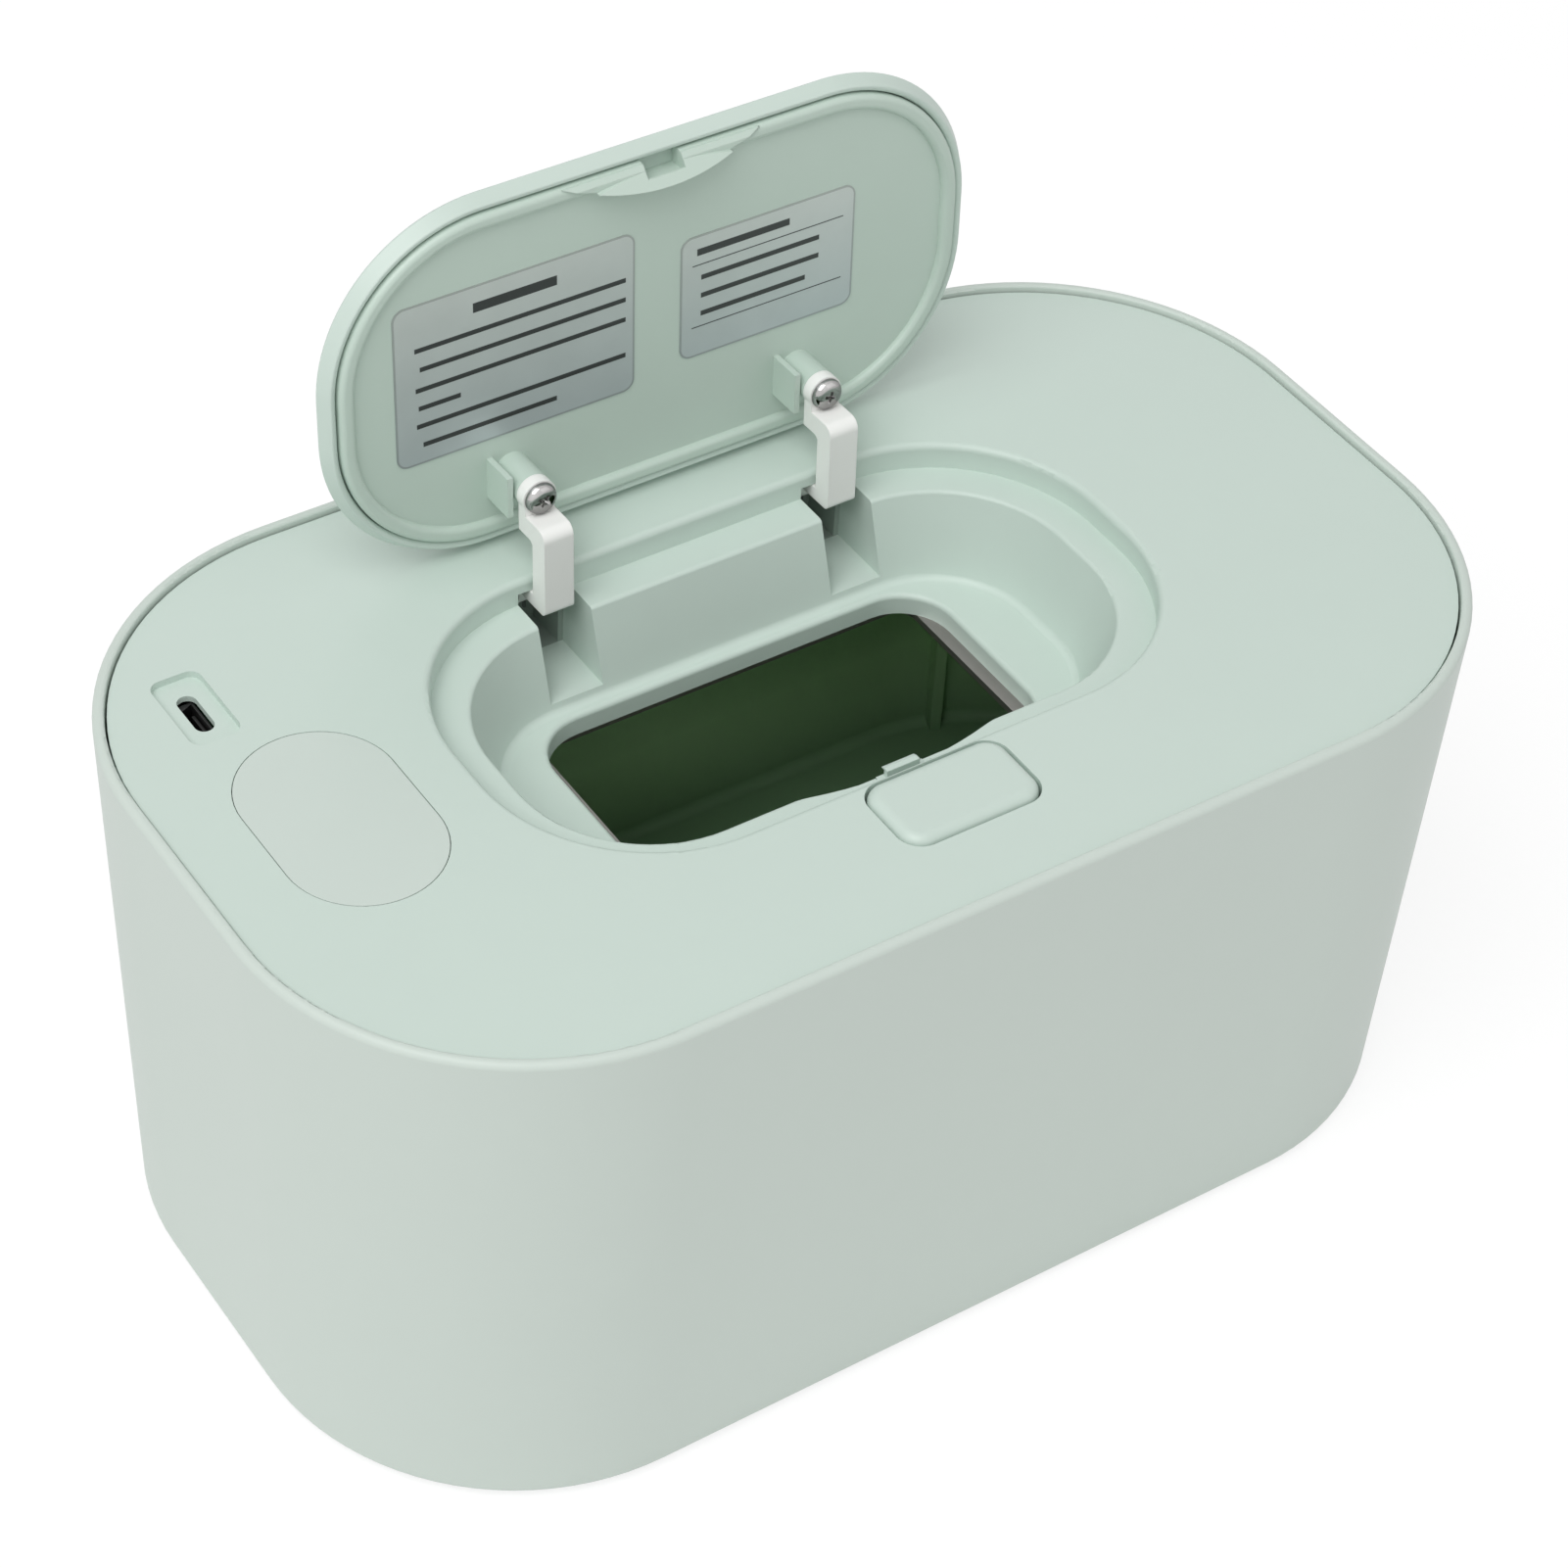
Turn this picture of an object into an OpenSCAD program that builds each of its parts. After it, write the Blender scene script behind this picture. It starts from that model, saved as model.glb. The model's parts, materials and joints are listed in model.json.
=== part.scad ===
// Baby wipe warmer with a lift-off heating cover and a sprung dispensing lid.
// +Z is up, X runs along the body and -Y is the front, where the release button is.
// The origin is the centre of the footprint, on the table.
// The lid's parts are drawn shut, in their place, and swung open together by lid_pose().

/* [Body] */
// Length over the rim
body_l = 210; // [190:1:260]
// Width over the rim
body_w = 125; // [120:1:160]
// Height of the rim above the table
body_h = 98; // [92:1:130]
// Corner radius of the rim in plan
corner_r = 46.5; // [40:0.5:56]
// Draft of the outer wall in degrees
wall_draft = 1.5; // [0.5:0.1:2.5]
// Wall thickness of the outer shell
shell_wall = 1.8; // [1.5:0.1:2.4]
// Floor thickness of the outer shell
shell_floor = 2; // [1.6:0.1:3]
// Rounding of the rim's outer edge
rim_round = 1.1; // [0.5:0.1:1.2]
// Rounding of the shell's bottom edge
base_round = 1.6; // [0.5:0.1:3]
// Height of the rim above the top panel
rim_rise = 1.1; // [0.4:0.1:2]
// Diameter of a rubber foot
foot_d = 14; // [8:1:18]
// Part of a foot that stands below the shell
foot_proud = 1; // [0.6:0.1:3]
// Depth of a foot's seat in the shell
foot_seat = 0.6; // [0.3:0.1:0.9]
// Distance of a foot's centre from its corner centre
foot_reach = 30; // [20:1:33]

/* [Liner] */
// Wall thickness of the liner
liner_wall = 1.5; // [1.2:0.1:2]
// Floor thickness of the liner
liner_floor = 2; // [1.5:0.1:3]
// Space between liner and shell
liner_gap = 0.4; // [0.3:0.05:0.8]
// Thickness of a liner rib
rib_t = 2; // [1.2:0.1:3]
// How far a rib stands out from the liner's wall
rib_depth = 3; // [1.5:0.1:5]
// Bearing of a rib round its corner
rib_angle = 73; // [50:1:80]
// Space between a rib's top and the heater plate
rib_gap = 1; // [0.5:0.1:4]

/* [Top panel] */
// Thickness of the top panel
panel_t = 2.2; // [2:0.1:2.8]
// Gap between the panel's edge and the shell
seam_gap = 0.3; // [0.2:0.05:0.6]
// Length of the lid recess
recess_l = 116; // [110:1:124]
// Width of the lid recess
recess_w = 63.8; // [62:0.2:68]
// Corner radius of the lid recess
recess_r = 28; // [26:0.5:30]
// Depth of the recess from the panel to the ledge
recess_depth = 4.6; // [4.4:0.1:5]
// Rounding of the recess's top edge
recess_round = 1.1; // [0.4:0.1:1.8]
// Width of the ledge under the lid
ledge_w = 6; // [5:0.1:7]
// Rounding of the ledge's inner edge
ledge_round = 0.8; // [0.3:0.1:1.2]
// Depth of the well from the panel to its floor
well_depth = 18.9; // [18.2:0.1:22]
// Draft of the well's wall in degrees
well_draft = 18.2; // [12:0.2:20]
// Rounding at the foot of the well's wall
well_round = 1.5; // [0.5:0.1:2.5]
// Wall thickness of the recess and the well
dish_t = 2; // [1.6:0.1:2.4]
// Length of the dispensing opening
opening_l = 73.3; // [60:0.1:78]
// Width of the dispensing opening
opening_w = 38.2; // [30:0.1:39]
// Corner radius of the dispensing opening
opening_r = 9; // [5:0.5:12]
// Rounding of the opening's top edge
opening_round = 0.9; // [0.3:0.1:1.5]
// Thickness of the lip round the opening
lip_t = 1.6; // [1.2:0.1:2]
// Height of the lip below the well's floor
lip_h = 1.8; // [1:0.1:3]
// Half width of the finger scoop in the front ledge
scoop_half = 18; // [12:0.5:24]
// Depth of the finger scoop from the ledge's edge
scoop_in = 2.55; // [1.5:0.05:2.8]
// Height of the finger scoop below the ledge
scoop_down = 3.9; // [3:0.1:4.2]
// Wall thickness of the cover's skirt
skirt_t = 1.8; // [1.4:0.1:2.2]
// Gap between the skirt and the liner
skirt_gap = 0.6; // [0.4:0.1:1.2]
// Diameter of a screw boss
boss_d = 5.6; // [5:0.1:6.4]
// Distance of the end bosses from the skirt's corner wall
boss_inset = 5.5; // [4:0.1:7]
// Place along X of the bosses at the long sides
side_boss_x = 40; // [38:0.5:46]
// Bearing of the end bosses round their corner
end_boss_angle = 60; // [50:1:66]

/* [Heater] */
// Thickness of the heater plate
heater_t = 1.2; // [0.8:0.1:2]
// Length of the opening in the heater plate
heater_open_l = 68.8; // [58:0.1:73]
// Width of the opening in the heater plate
heater_open_w = 39; // [30:0.1:40]
// Corner radius of the opening in the heater plate
heater_open_r = 3; // [1:0.5:8]
// Thickness of the heating film
film_t = 0.4; // [0.3:0.05:0.6]
// How far the film's edge stays inside the plate's edge
film_inset = 4; // [3:0.5:8]
// Thickness of the under cover
under_t = 2; // [1.6:0.1:2.6]
// Thickness of the insulation pad
pad_t = 3; // [2:0.1:4]
// Gap between the pad and the skirt
pad_gap = 1.2; // [0.5:0.1:3]

/* [Controls and socket] */
// How far the touch window stays outside the middle between the recess and the body's end
window_shift = -2.4; // [-3:0.1:0]
// Size of the touch window along X
window_l = 24.8; // [20:0.1:27]
// Size of the touch window along Y
window_w = 38.2; // [30:0.1:40]
// Thickness of the touch window
window_t = 1.4; // [1:0.1:1.5]
// Width of the seat under the touch window
window_seat = 1.5; // [1:0.1:2.5]
// Gap round the touch window
window_gap = 0.15; // [0.1:0.05:0.3]
// Distance of the plug recess's centre from the body's end
plug_in = 18.8; // [18:0.1:20]
// Distance of the plug recess's centre from the body's long side
plug_side = 31.5; // [30.5:0.1:32]
// Size of the plug recess along X
plug_l = 8.2; // [7:0.1:9]
// Size of the plug recess along Y
plug_w = 15.6; // [14:0.1:16]
// Depth of the plug recess
plug_depth = 1.2; // [0.8:0.1:1.3]
// Length of the slot for the plug
slot_w = 8.5; // [8.2:0.1:9]
// Width of the slot for the plug
slot_l = 3.1; // [3:0.1:3.4]
// Gap between the panel and the socket under it
socket_gap = 0.2; // [0.1:0.05:0.5]
// Height of the socket over its board
socket_h = 6; // [5:0.1:7]
// Thickness of the control board
board_t = 1.2; // [1:0.1:1.6]
// Height of the light display over the board
display_h = 5.6; // [4:0.1:5.8]

/* [Lid] */
// Angle from shut to open, in degrees
lid_open = 92.5; // [80:0.5:100]
// Gap between the lid and the recess
lid_gap = 0.5; // [0.3:0.05:0.9]
// Thickness of the shut lid from its top to the lip's front
lid_t = 3.8; // [3.7:0.05:4]
// Thickness of the lid's outer plate
lid_skin = 1.3; // [1:0.1:1.4]
// Thickness of the lid's inner plate
lid_plate = 1.34; // [1.2:0.02:1.5]
// Rounding of the lid's outer edge
lid_round = 1.2; // [0.4:0.1:1.2]
// Width of the rim round the lid
lid_rim = 2.3; // [1.6:0.1:2.5]
// Rounding of the rim's inner edge and of the lip
lip_round = 0.9; // [0.4:0.1:1.1]
// How far the rim's front stays behind the lip's front
lid_rim_set = 0.7; // [0.4:0.1:1]
// Width of the groove between rim and lip
lid_groove = 0.2; // [0.15:0.05:0.6]
// Width of the lip on the inner plate
lid_lip = 2.5; // [1.6:0.1:3]
// Half width of the crescent round the latch pocket
crescent_half = 17.4; // [14:0.2:20]
// How far the crescent bulges in from the lip's outer edge
crescent_in = 3.5; // [3.2:0.1:4]
// How far the crescent's ramp reaches down past the lip
ramp_h = 2.7; // [2:0.1:3]
// Gap between the crescent's ramp and the ledge with its finger scoop
ramp_gap = 0.4; // [0.3:0.05:0.6]
// Width of the latch pocket
pocket_w = 6.5; // [6.3:0.1:7.5]
// Thickness of the catch that the hook holds
catch_t = 0.5; // [0.4:0.1:1]

/* [Labels] */
// Length of the left label
left_label_l = 41.5; // [30:0.5:43]
// Width of the left label
left_label_w = 28.5; // [20:0.5:30]
// Place of the left label's centre along X
left_label_x = -24.8; // [-26:0.1:-24]
// Place of the left label's centre along Y
left_label_y = -2.5; // [-3:0.1:0]
// Length of the right label
right_label_l = 31.8; // [24:0.1:34]
// Width of the right label
right_label_w = 22; // [16:0.5:24]
// Place of the right label's centre along X
right_label_x = 20.1; // [18:0.1:22]
// Place of the right label's centre along Y
right_label_y = -1.2; // [-2:0.1:1]
// Thickness of a label
label_t = 0.15; // [0.1:0.05:0.2]
// Corner radius of a label
label_r = 2; // [1:0.5:3]

/* [Hinge] */
// Place of the hinge arms along X
hinge_x = 26; // [25:0.5:27]
// Distance of the hinge axis behind the lid recess
hinge_set = 6.1; // [5.6:0.1:6.6]
// Depth of the hinge axis below the panel
pivot_down = 6.1; // [6:0.1:6.5]
// Width of a hinge arm
arm_w = 5.2; // [4.4:0.1:5.6]
// Thickness of a hinge arm
arm_t = 3.6; // [3:0.1:4]
// Depth of the arm's outer face below the axis when shut
arm_drop = 10.7; // [10:0.1:10.8]
// Reach of the arm's outer corner from the axis
arm_reach = 16.7; // [16:0.1:16.7]
// Distance of the lid screw from the axis
screw_reach = 19.45; // [18.8:0.05:20]
// Depth of the arm's screw seat below the axis when shut
seat_drop = 3.15; // [3:0.05:3.6]
// Thickness of the arm's flange
flange_t = 2; // [1.6:0.1:2.4]
// Diameter of the boss under the flange
lid_boss_d = 5.8; // [5.2:0.1:6.4]
// Diameter of the hinge pin
pin_d = 2; // [1.6:0.1:2.4]
// Radial clearance of the arm on its pin
pin_gap = 0.05; // [0.03:0.01:0.1]
// Outer diameter of the arm's hub
hub_d = 5.8; // [5:0.1:6]
// Width of the arm's hub
hub_w = 3.2; // [2.6:0.1:3.4]
// Width of the channel that the arm swings in
channel_w = 9.4; // [9:0.1:10]
// Depth of the channel's floor below the panel
channel_depth = 17.2; // [17.2:0.1:17.6]
// Depth of the top edge of the hole behind the channel
hole_top = 2.5; // [2.4:0.1:2.8]
// How far the hinge housing's mouth stands inside the channel
housing_inset = 0.9; // [0.6:0.1:1]
// Wall thickness of the hinge housing
housing_t = 1.6; // [1.2:0.1:2]
// Wire diameter of the hinge spring
hinge_wire = 0.6; // [0.4:0.05:0.7]

/* [Latch] */
// Size of the button along X
button_l = 24.2; // [22:0.1:26]
// Size of the button along Y
button_w = 14.2; // [12.8:0.1:14.6]
// Corner radius of the button
button_r = 3.6; // [2.5:0.1:5]
// Distance of the button's centre in front of the lid recess
button_set = 8.2; // [8:0.1:9]
// Height of the button above the panel
button_proud = 0.9; // [0.6:0.1:3]
// Rounding of the button's top edge
button_round = 1.8; // [0.4:0.1:2]
// Gap round the button
button_gap = 0.4; // [0.3:0.05:0.6]
// Travel of the button
button_travel = 1.8; // [1.4:0.1:2]
// Travel of the hook when the button is down
latch_travel = 0.9; // [0.7:0.05:0.95]
// Width of the hook's post
hook_w = 5.8; // [4:0.1:5.8]
// Thickness of the hook's post
hook_t = 0.9; // [0.7:0.05:0.9]
// Bite of the hook over the catch
hook_bite = 0.6; // [0.4:0.05:0.6]
// Width of the block under the hook
block_w = 8.2; // [7:0.1:8.4]
// Thickness of the slider's plate
slider_t = 2; // [1.6:0.1:2.2]
// Width of the slider's plate
slider_w = 10; // [9:0.1:10.4]
// Running gap of the latch's sliding faces
slide_gap = 0.2; // [0.15:0.05:0.3]

/* [Screws] */
// Head diameter of a lid screw
lid_screw_head = 5.3; // [4.6:0.1:5.6]
// Head height of a lid screw
lid_screw_head_h = 1.5; // [1:0.1:1.8]
// Shank diameter of the screws
screw_d = 2.2; // [1.8:0.1:2.4]
// Head diameter of the inner screws
screw_head = 4.2; // [3.6:0.1:4.8]
// Head height of the inner screws
screw_head_h = 1.4; // [1:0.1:1.8]
// Length of a cover screw in its boss
cover_bite = 7; // [5:0.5:9]
// Length of a lid screw in its boss
lid_bite = 5.5; // [4:0.1:5.7]
// Length of the other screws in their bosses
small_bite = 4; // [3:0.1:4.2]
// Clearance of a screw in the piece that it holds
screw_gap = 0.2; // [0.1:0.05:0.4]

/* [Hidden] */
$fn = 64;

// Small overlap that lets cuts pass their faces.
eps = 0.05;

// Corner centres that the shell, the liner and the cover's rim share.
cx = body_l / 2 - corner_r;
cy = body_w / 2 - corner_r;
// Corner centres that the recess, the well and the lid share.
rcx = recess_l / 2 - recess_r;
rcy = recess_w / 2 - recess_r;

// Levels from the table up.
z_base = foot_proud;
z_shell_floor = z_base + shell_floor;
z_liner_floor = z_shell_floor + liner_floor;
z_panel = body_h - rim_rise;
z_under = z_panel - panel_t;
z_ledge = z_panel - recess_depth;
z_well = z_panel - well_depth;
z_heater_top = z_well - dish_t - lip_h;
z_heater = z_heater_top - heater_t;
z_film_top = z_heater_top + film_t;
z_plate_top = z_film_top + under_t;

// Corner radii at a height, measured from the shared corner centres.
function outer_r(z) = corner_r - (body_h - z) * tan(wall_draft);
function shell_r(z) = outer_r(z) - shell_wall;
function liner_out_r(z) = shell_r(z) - liner_gap;
function liner_in_r(z) = liner_out_r(z) - liner_wall;
panel_r = shell_r(z_under) - seam_gap;
skirt_r = liner_in_r(z_heater) - skirt_gap;
skirt_in_r = skirt_r - skirt_t;

// Well radii, measured from the recess's corner centres.
ledge_r = recess_r - ledge_w;
function well_r(z) = ledge_r - (z_ledge - z) * tan(well_draft);
well_skin = dish_t / cos(well_draft);
dish_out_r = recess_r + dish_t;
under_open_r = well_r(z_well - dish_t) + well_skin + 0.3;

// Hinge axis, channel and housing.
recess_back = rcy + recess_r;
pivot_y = recess_back + hinge_set;
pivot_z = z_panel - pivot_down;
channel_z = z_panel - channel_depth;
housing_y = recess_back + dish_t;
housing_in_w = channel_w - 2 * housing_inset;
housing_out_w = housing_in_w + 2 * housing_t;
housing_back = pivot_y + hub_d / 2 + 0.5;
housing_tab_t = 2;
housing_tab_z = z_panel - 8;
housing_screw_x = housing_out_w / 2 + boss_d / 2 + 0.4;
housing_screw_y = pivot_y - 0.4;
hub_side = arm_w / 2;
spring_coil_r = pin_d / 2 + hinge_wire / 2 + 0.4;

// Lid sizes in the shut pose.
lid_r = recess_r - lid_gap;
z_lip = z_panel - lid_t;
z_lid_skin = z_panel - lid_skin;
z_lid_face = z_lid_skin - lid_plate;
lip_out_r = lid_r - lid_rim - lid_groove;
lip_in_r = lip_out_r - lid_lip;
lid_screw_y = pivot_y - screw_reach;
z_seat = pivot_z - seat_drop;

// Finger scoop and the lid's crescent, whose ramp comes down into the scoop.
scoop_edge = -(rcy + ledge_r);
scoop_r = (pow(scoop_half, 2) + pow(scoop_in, 2)) / (2 * scoop_in);
scoop_y = scoop_edge - scoop_in + scoop_r;
z_scoop = z_ledge - scoop_down;
crescent_r = (pow(crescent_half, 2) + pow(crescent_in, 2)) / (2 * crescent_in);
crescent_tip = -(rcy + lip_out_r) + crescent_in;
ramp_back = -(rcy + lip_out_r) + 0.1;
function ramp_z(y) = z_lip - ramp_h * (y - ramp_back) / (crescent_tip - ramp_back);

// The lid's rim leans in so that it stays outside the circle in which the recess's edge passes it.
edge_reach = norm([pivot_y - recess_back - recess_round, z_panel - recess_round - pivot_z]) + recess_round + 0.2;
rim_lean_z = pivot_z + sqrt(pow(edge_reach, 2) - pow(pivot_y - rcy - lid_r, 2));
rim_front = z_lip + lid_rim_set;
rim_lean = sqrt(pow(edge_reach, 2) - pow(rim_front - pivot_z, 2)) - (pivot_y - rcy - lid_r);

// Latch places. The hook stands in the pocket's mouth, clear of both its walls.
button_y = recess_back + button_set;
pocket_front = -(rcy + lip_out_r) - eps;
pocket_gap = 0.15;
hook_front = pocket_front + pocket_gap + latch_travel;
hook_back = hook_front + hook_t;
pocket_back = hook_back + 0.1;
nose_tip = pocket_back + hook_bite;
nose_h = 0.4;
nose_gap = 0.3;
catch_gap = 0.1;
z_catch = ramp_z(pocket_back) + catch_t;
z_nose = z_catch + catch_gap;
z_hook_top = z_nose + nose_h;
z_block_top = z_ledge - 1.2;
z_slider_top = z_scoop - dish_t - slide_gap;
z_slider = z_slider_top - slider_t;
block_front = hook_front - 0.4;
block_back = hook_back + 0.3;
slider_front = -button_y - 6.4;
wedge = latch_travel / button_travel;
wedge_y = -button_y - 0.65;
leg_back = wedge_y + 3;
z_frame_floor = z_slider - 0.3 - button_travel - slide_gap;
frame_floor_t = 1.6;
frame_front = slider_front - 5;
rail_t = 1.7;
rail_in = slider_w / 2 + slide_gap;
wing_t = 1.6;
z_wing = z_slider_top + 2.2;
frame_screw_x = 16.5;
button_cap_t = 1.8;
button_skin = 1.2;
button_flange = 1.2;
button_flange_t = 1.3;
button_spring_x = 8.2;
button_spring_r = 1.5;
latch_spring_r = 1.4;
small_wire = 0.45;

// Window, plug and board.
window_x = -(recess_l + body_l) / 4 - window_shift;
plug_x = -(body_l / 2 - plug_in);
plug_y = body_w / 2 - plug_side;
z_board_top = z_panel - plug_depth - (panel_t - plug_depth) - socket_gap - socket_h;
z_board = z_board_top - board_t;
board_x = [-(cx + skirt_in_r) + 2.75, window_x + window_l / 2 + 2.4];
board_y = [-window_w / 2 - 4, plug_y + plug_w / 2 + 2];
board_screw_in = 3.1;
board_screws_at = [
    [board_x[1] - board_screw_in, board_y[0] + board_screw_in],
    [board_x[1] - board_screw_in, board_y[1] - board_screw_in],
    [board_x[0] + board_screw_in, -(cy + board_screw_in - 1)],
    [board_x[0] + board_screw_in, cy + board_screw_in - 1]
];
socket_w = 7.6;
socket_l = 2.7;
seal_h = 4;
seal_gap = 0.05;
fuse_at = [-cx - 2, cy + 14];
sensor_at = [-cx - 2, -cy - 14];
wires_at = [-cx - 6, 0];
fuse_l = 10;
fuse_d = 3;
sensor_d = 5;

// Colours as photographed.
mint = [0.80, 0.86, 0.83];
mint_inner = [0.66, 0.73, 0.68];
dark_green = [0.19, 0.28, 0.18];
white_arm = [0.87, 0.88, 0.86];

// Shapes that several pieces share.

// Flat outline of a rounded rectangle with corner centres at x, y.
module outline(x, y, r) {
    square([2 * (x + r), 2 * y], center = true);
    square([2 * x, 2 * (y + r)], center = true);
    for (i = [-1, 1], j = [-1, 1]) translate([i * x, j * y]) circle(r);
}

// Flat outline of a rounded rectangle of length l and width w.
module rounded(l, w, r) {
    outline(l / 2 - r, w / 2 - r, r);
}

// Flat outline with round ends, w long along Y and l wide.
module stadium(l, w) {
    square([l, w - l], center = true);
    for (j = [-1, 1]) translate([0, j * (w - l) / 2]) circle(d = l);
}

// Profile (radius, height) swept round a rounded rectangle with corner centres at x, y.
module swept(x, y) {
    for (q = [[1, 1, 0], [-1, 1, 90], [-1, -1, 180], [1, -1, 270]])
        translate([q[0] * x, q[1] * y, 0]) rotate([0, 0, q[2]]) rotate_extrude(angle = 90) children();
    for (turn = [0, 180]) {
        rotate([0, 0, turn]) translate([x, y, 0]) rotate([90, 0, 0]) linear_extrude(2 * y) children();
        rotate([0, 0, turn + 90]) translate([y, x, 0]) rotate([90, 0, 0]) linear_extrude(2 * x) children();
    }
}

// The same for a profile that starts at the corner axis, with the middle filled from z0 to z1.
module swept_solid(x, y, z0, z1) {
    swept(x, y) children();
    translate([-x, -y, z0]) cube([2 * x, 2 * y, z1 - z0]);
}

// The sliver between the corner v of a profile and the arc of radius r that rounds it.
// a and b are points on the two edges that meet at v.
module corner_bit(v, a, b, r) {
    ua = (a - v) / norm(a - v);
    ub = (b - v) / norm(b - v);
    half = acos(ua * ub) / 2;
    reach = r / tan(half);
    difference() {
        polygon([v, v + ua * reach, v + ub * reach]);
        translate(v + (ua + ub) / norm(ua + ub) * r / sin(half)) circle(r);
    }
}

// Points of one ring of a swept wire: centre p, direction d.
function ring_of(p, d, r, sides) =
    let (n = d / norm(d), h = abs(n[2]) < 0.8 ? [0, 0, 1] : [1, 0, 0])
    let (u = cross(n, h) / norm(cross(n, h)), v = cross(n, u))
    [for (k = [0 : sides - 1]) p + r * (cos(360 * k / sides) * u + sin(360 * k / sides) * v)];

// A wire of radius r along a list of points.
module wire(path, r, sides = 8) {
    n = len(path);
    way = [for (i = [0 : n - 1]) path[min(i + 1, n - 1)] - path[max(i - 1, 0)]];
    points = [for (i = [0 : n - 1]) each ring_of(path[i], way[i], r, sides)];
    polyhedron(points, concat(
        [[for (k = [0 : sides - 1]) k]],
        [for (i = [0 : n - 2], k = [0 : sides - 1]) let (j = (k + 1) % sides)
            each [[i * sides + k, (i + 1) * sides + k, (i + 1) * sides + j],
                [i * sides + k, (i + 1) * sides + j, i * sides + j]]],
        [[for (k = [sides - 1 : -1 : 0]) (n - 1) * sides + k]]));
}

// A compression spring of height h round Z, its wire's centre line on radius r.
module coil(r, h, turns, wire_d) {
    steps = turns * 12;
    wire([for (i = [0 : steps])
        [r * cos(30 * i), r * sin(30 * i), wire_d / 2 + (h - wire_d) * i / steps]], wire_d / 2, 6);
}

// A pan-head screw that points up, its head's seat at z = 0.
module pan_screw(head, head_h, shank, length) {
    rotate_extrude() difference() {
        union() {
            translate([0, -head_h]) square([head / 2, head_h]);
            square([shank / 2, length]);
        }
        corner_bit([head / 2, -head_h], [0, -head_h], [head / 2, 0], head_h * 0.6);
    }
}

// Places of the cover's screws: one at each corner and two on each long side.
module at_cover_screws() {
    reach = skirt_in_r - boss_inset;
    for (i = [-1, 1], j = [-1, 1]) {
        translate([i * (cx + reach * cos(end_boss_angle)), j * (cy + reach * sin(end_boss_angle)), 0]) children();
        translate([i * side_boss_x, j * (cy + reach), 0]) children();
    }
}

// Places of the two screws that hold a hinge housing.
module at_housing_screws(side) {
    for (i = [-1, 1]) translate([side * hinge_x + i * housing_screw_x, housing_screw_y, 0]) children();
}

// Swings parts that are drawn shut into the open pose.
module lid_pose() {
    translate([0, pivot_y, pivot_z]) rotate([-lid_open, 0, 0]) translate([0, -pivot_y, -pivot_z]) children();
}

// Base

module outer_shell() {
    bottom = outer_r(z_base);
    top = outer_r(body_h);
    color(mint) difference() {
        swept_solid(cx, cy, z_base, body_h) difference() {
            polygon([[0, z_base], [bottom, z_base], [top, body_h], [0, body_h]]);
            corner_bit([bottom, z_base], [0, z_base], [top, body_h], base_round);
            corner_bit([top, body_h], [0, body_h], [bottom, z_base], rim_round);
        }
        swept_solid(cx, cy, z_shell_floor, body_h + 1) union() {
            polygon([[0, z_shell_floor], [shell_r(z_shell_floor), z_shell_floor],
                [shell_r(body_h), body_h], [shell_r(body_h), body_h + 1], [0, body_h + 1]]);
            corner_bit([shell_r(body_h), body_h], [top, body_h],
                [shell_r(z_shell_floor), z_shell_floor], (shell_wall - rim_round) * 0.7);
        }
        at_feet() translate([0, 0, z_base - 1]) cylinder(d = foot_d, h = 1 + foot_seat);
    }
}

module at_feet() {
    for (i = [-1, 1], j = [-1, 1])
        translate([i * (cx + foot_reach * cos(30)), j * (cy + foot_reach * sin(30)), 0]) children();
}

module rubber_feet() {
    color([0.25, 0.27, 0.26]) at_feet() rotate_extrude() difference() {
        square([foot_d / 2, foot_proud + foot_seat]);
        corner_bit([foot_d / 2, 0], [0, 0], [foot_d / 2, 1], foot_proud * 0.5);
    }
}

module inner_liner() {
    color(dark_green) {
        difference() {
            swept_solid(cx, cy, z_shell_floor, z_under)
                polygon([[0, z_shell_floor], [liner_out_r(z_shell_floor), z_shell_floor],
                    [liner_out_r(z_under), z_under], [0, z_under]]);
            swept_solid(cx, cy, z_liner_floor, z_under + 1) difference() {
                polygon([[0, z_liner_floor], [liner_in_r(z_liner_floor), z_liner_floor],
                    [liner_in_r(z_under + 1), z_under + 1], [0, z_under + 1]]);
                corner_bit([liner_in_r(z_liner_floor), z_liner_floor], [0, z_liner_floor],
                    [liner_in_r(z_under), z_under], 2);
            }
        }
        for (i = [0, 1], j = [0, 1]) mirror([i, 0, 0]) mirror([0, j, 0]) liner_rib();
    }
}

// An upright rib in the liner's corner, let into its wall.
module liner_rib() {
    top = z_heater - rib_gap;
    low = liner_in_r(z_liner_floor);
    translate([cx, cy, 0]) rotate([0, 0, rib_angle]) rotate([90, 0, 0])
        translate([0, 0, -rib_t / 2]) linear_extrude(rib_t)
            polygon([[low - rib_depth, z_liner_floor - 0.5], [low + 0.5, z_liner_floor - 0.5],
                [liner_in_r(top) + 0.5, top], [liner_in_r(top) - rib_depth, top]]);
}

// Cover

// Outside of the recess and the well, filled.
module dish_block() {
    foot = z_well - dish_t;
    swept_solid(rcx, rcy, foot, z_panel)
        polygon([[0, foot], [well_r(foot) + well_skin, foot],
            [well_r(z_ledge - dish_t) + well_skin, z_ledge - dish_t],
            [dish_out_r, z_ledge - dish_t], [dish_out_r, z_panel], [0, z_panel]]);
}

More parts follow.
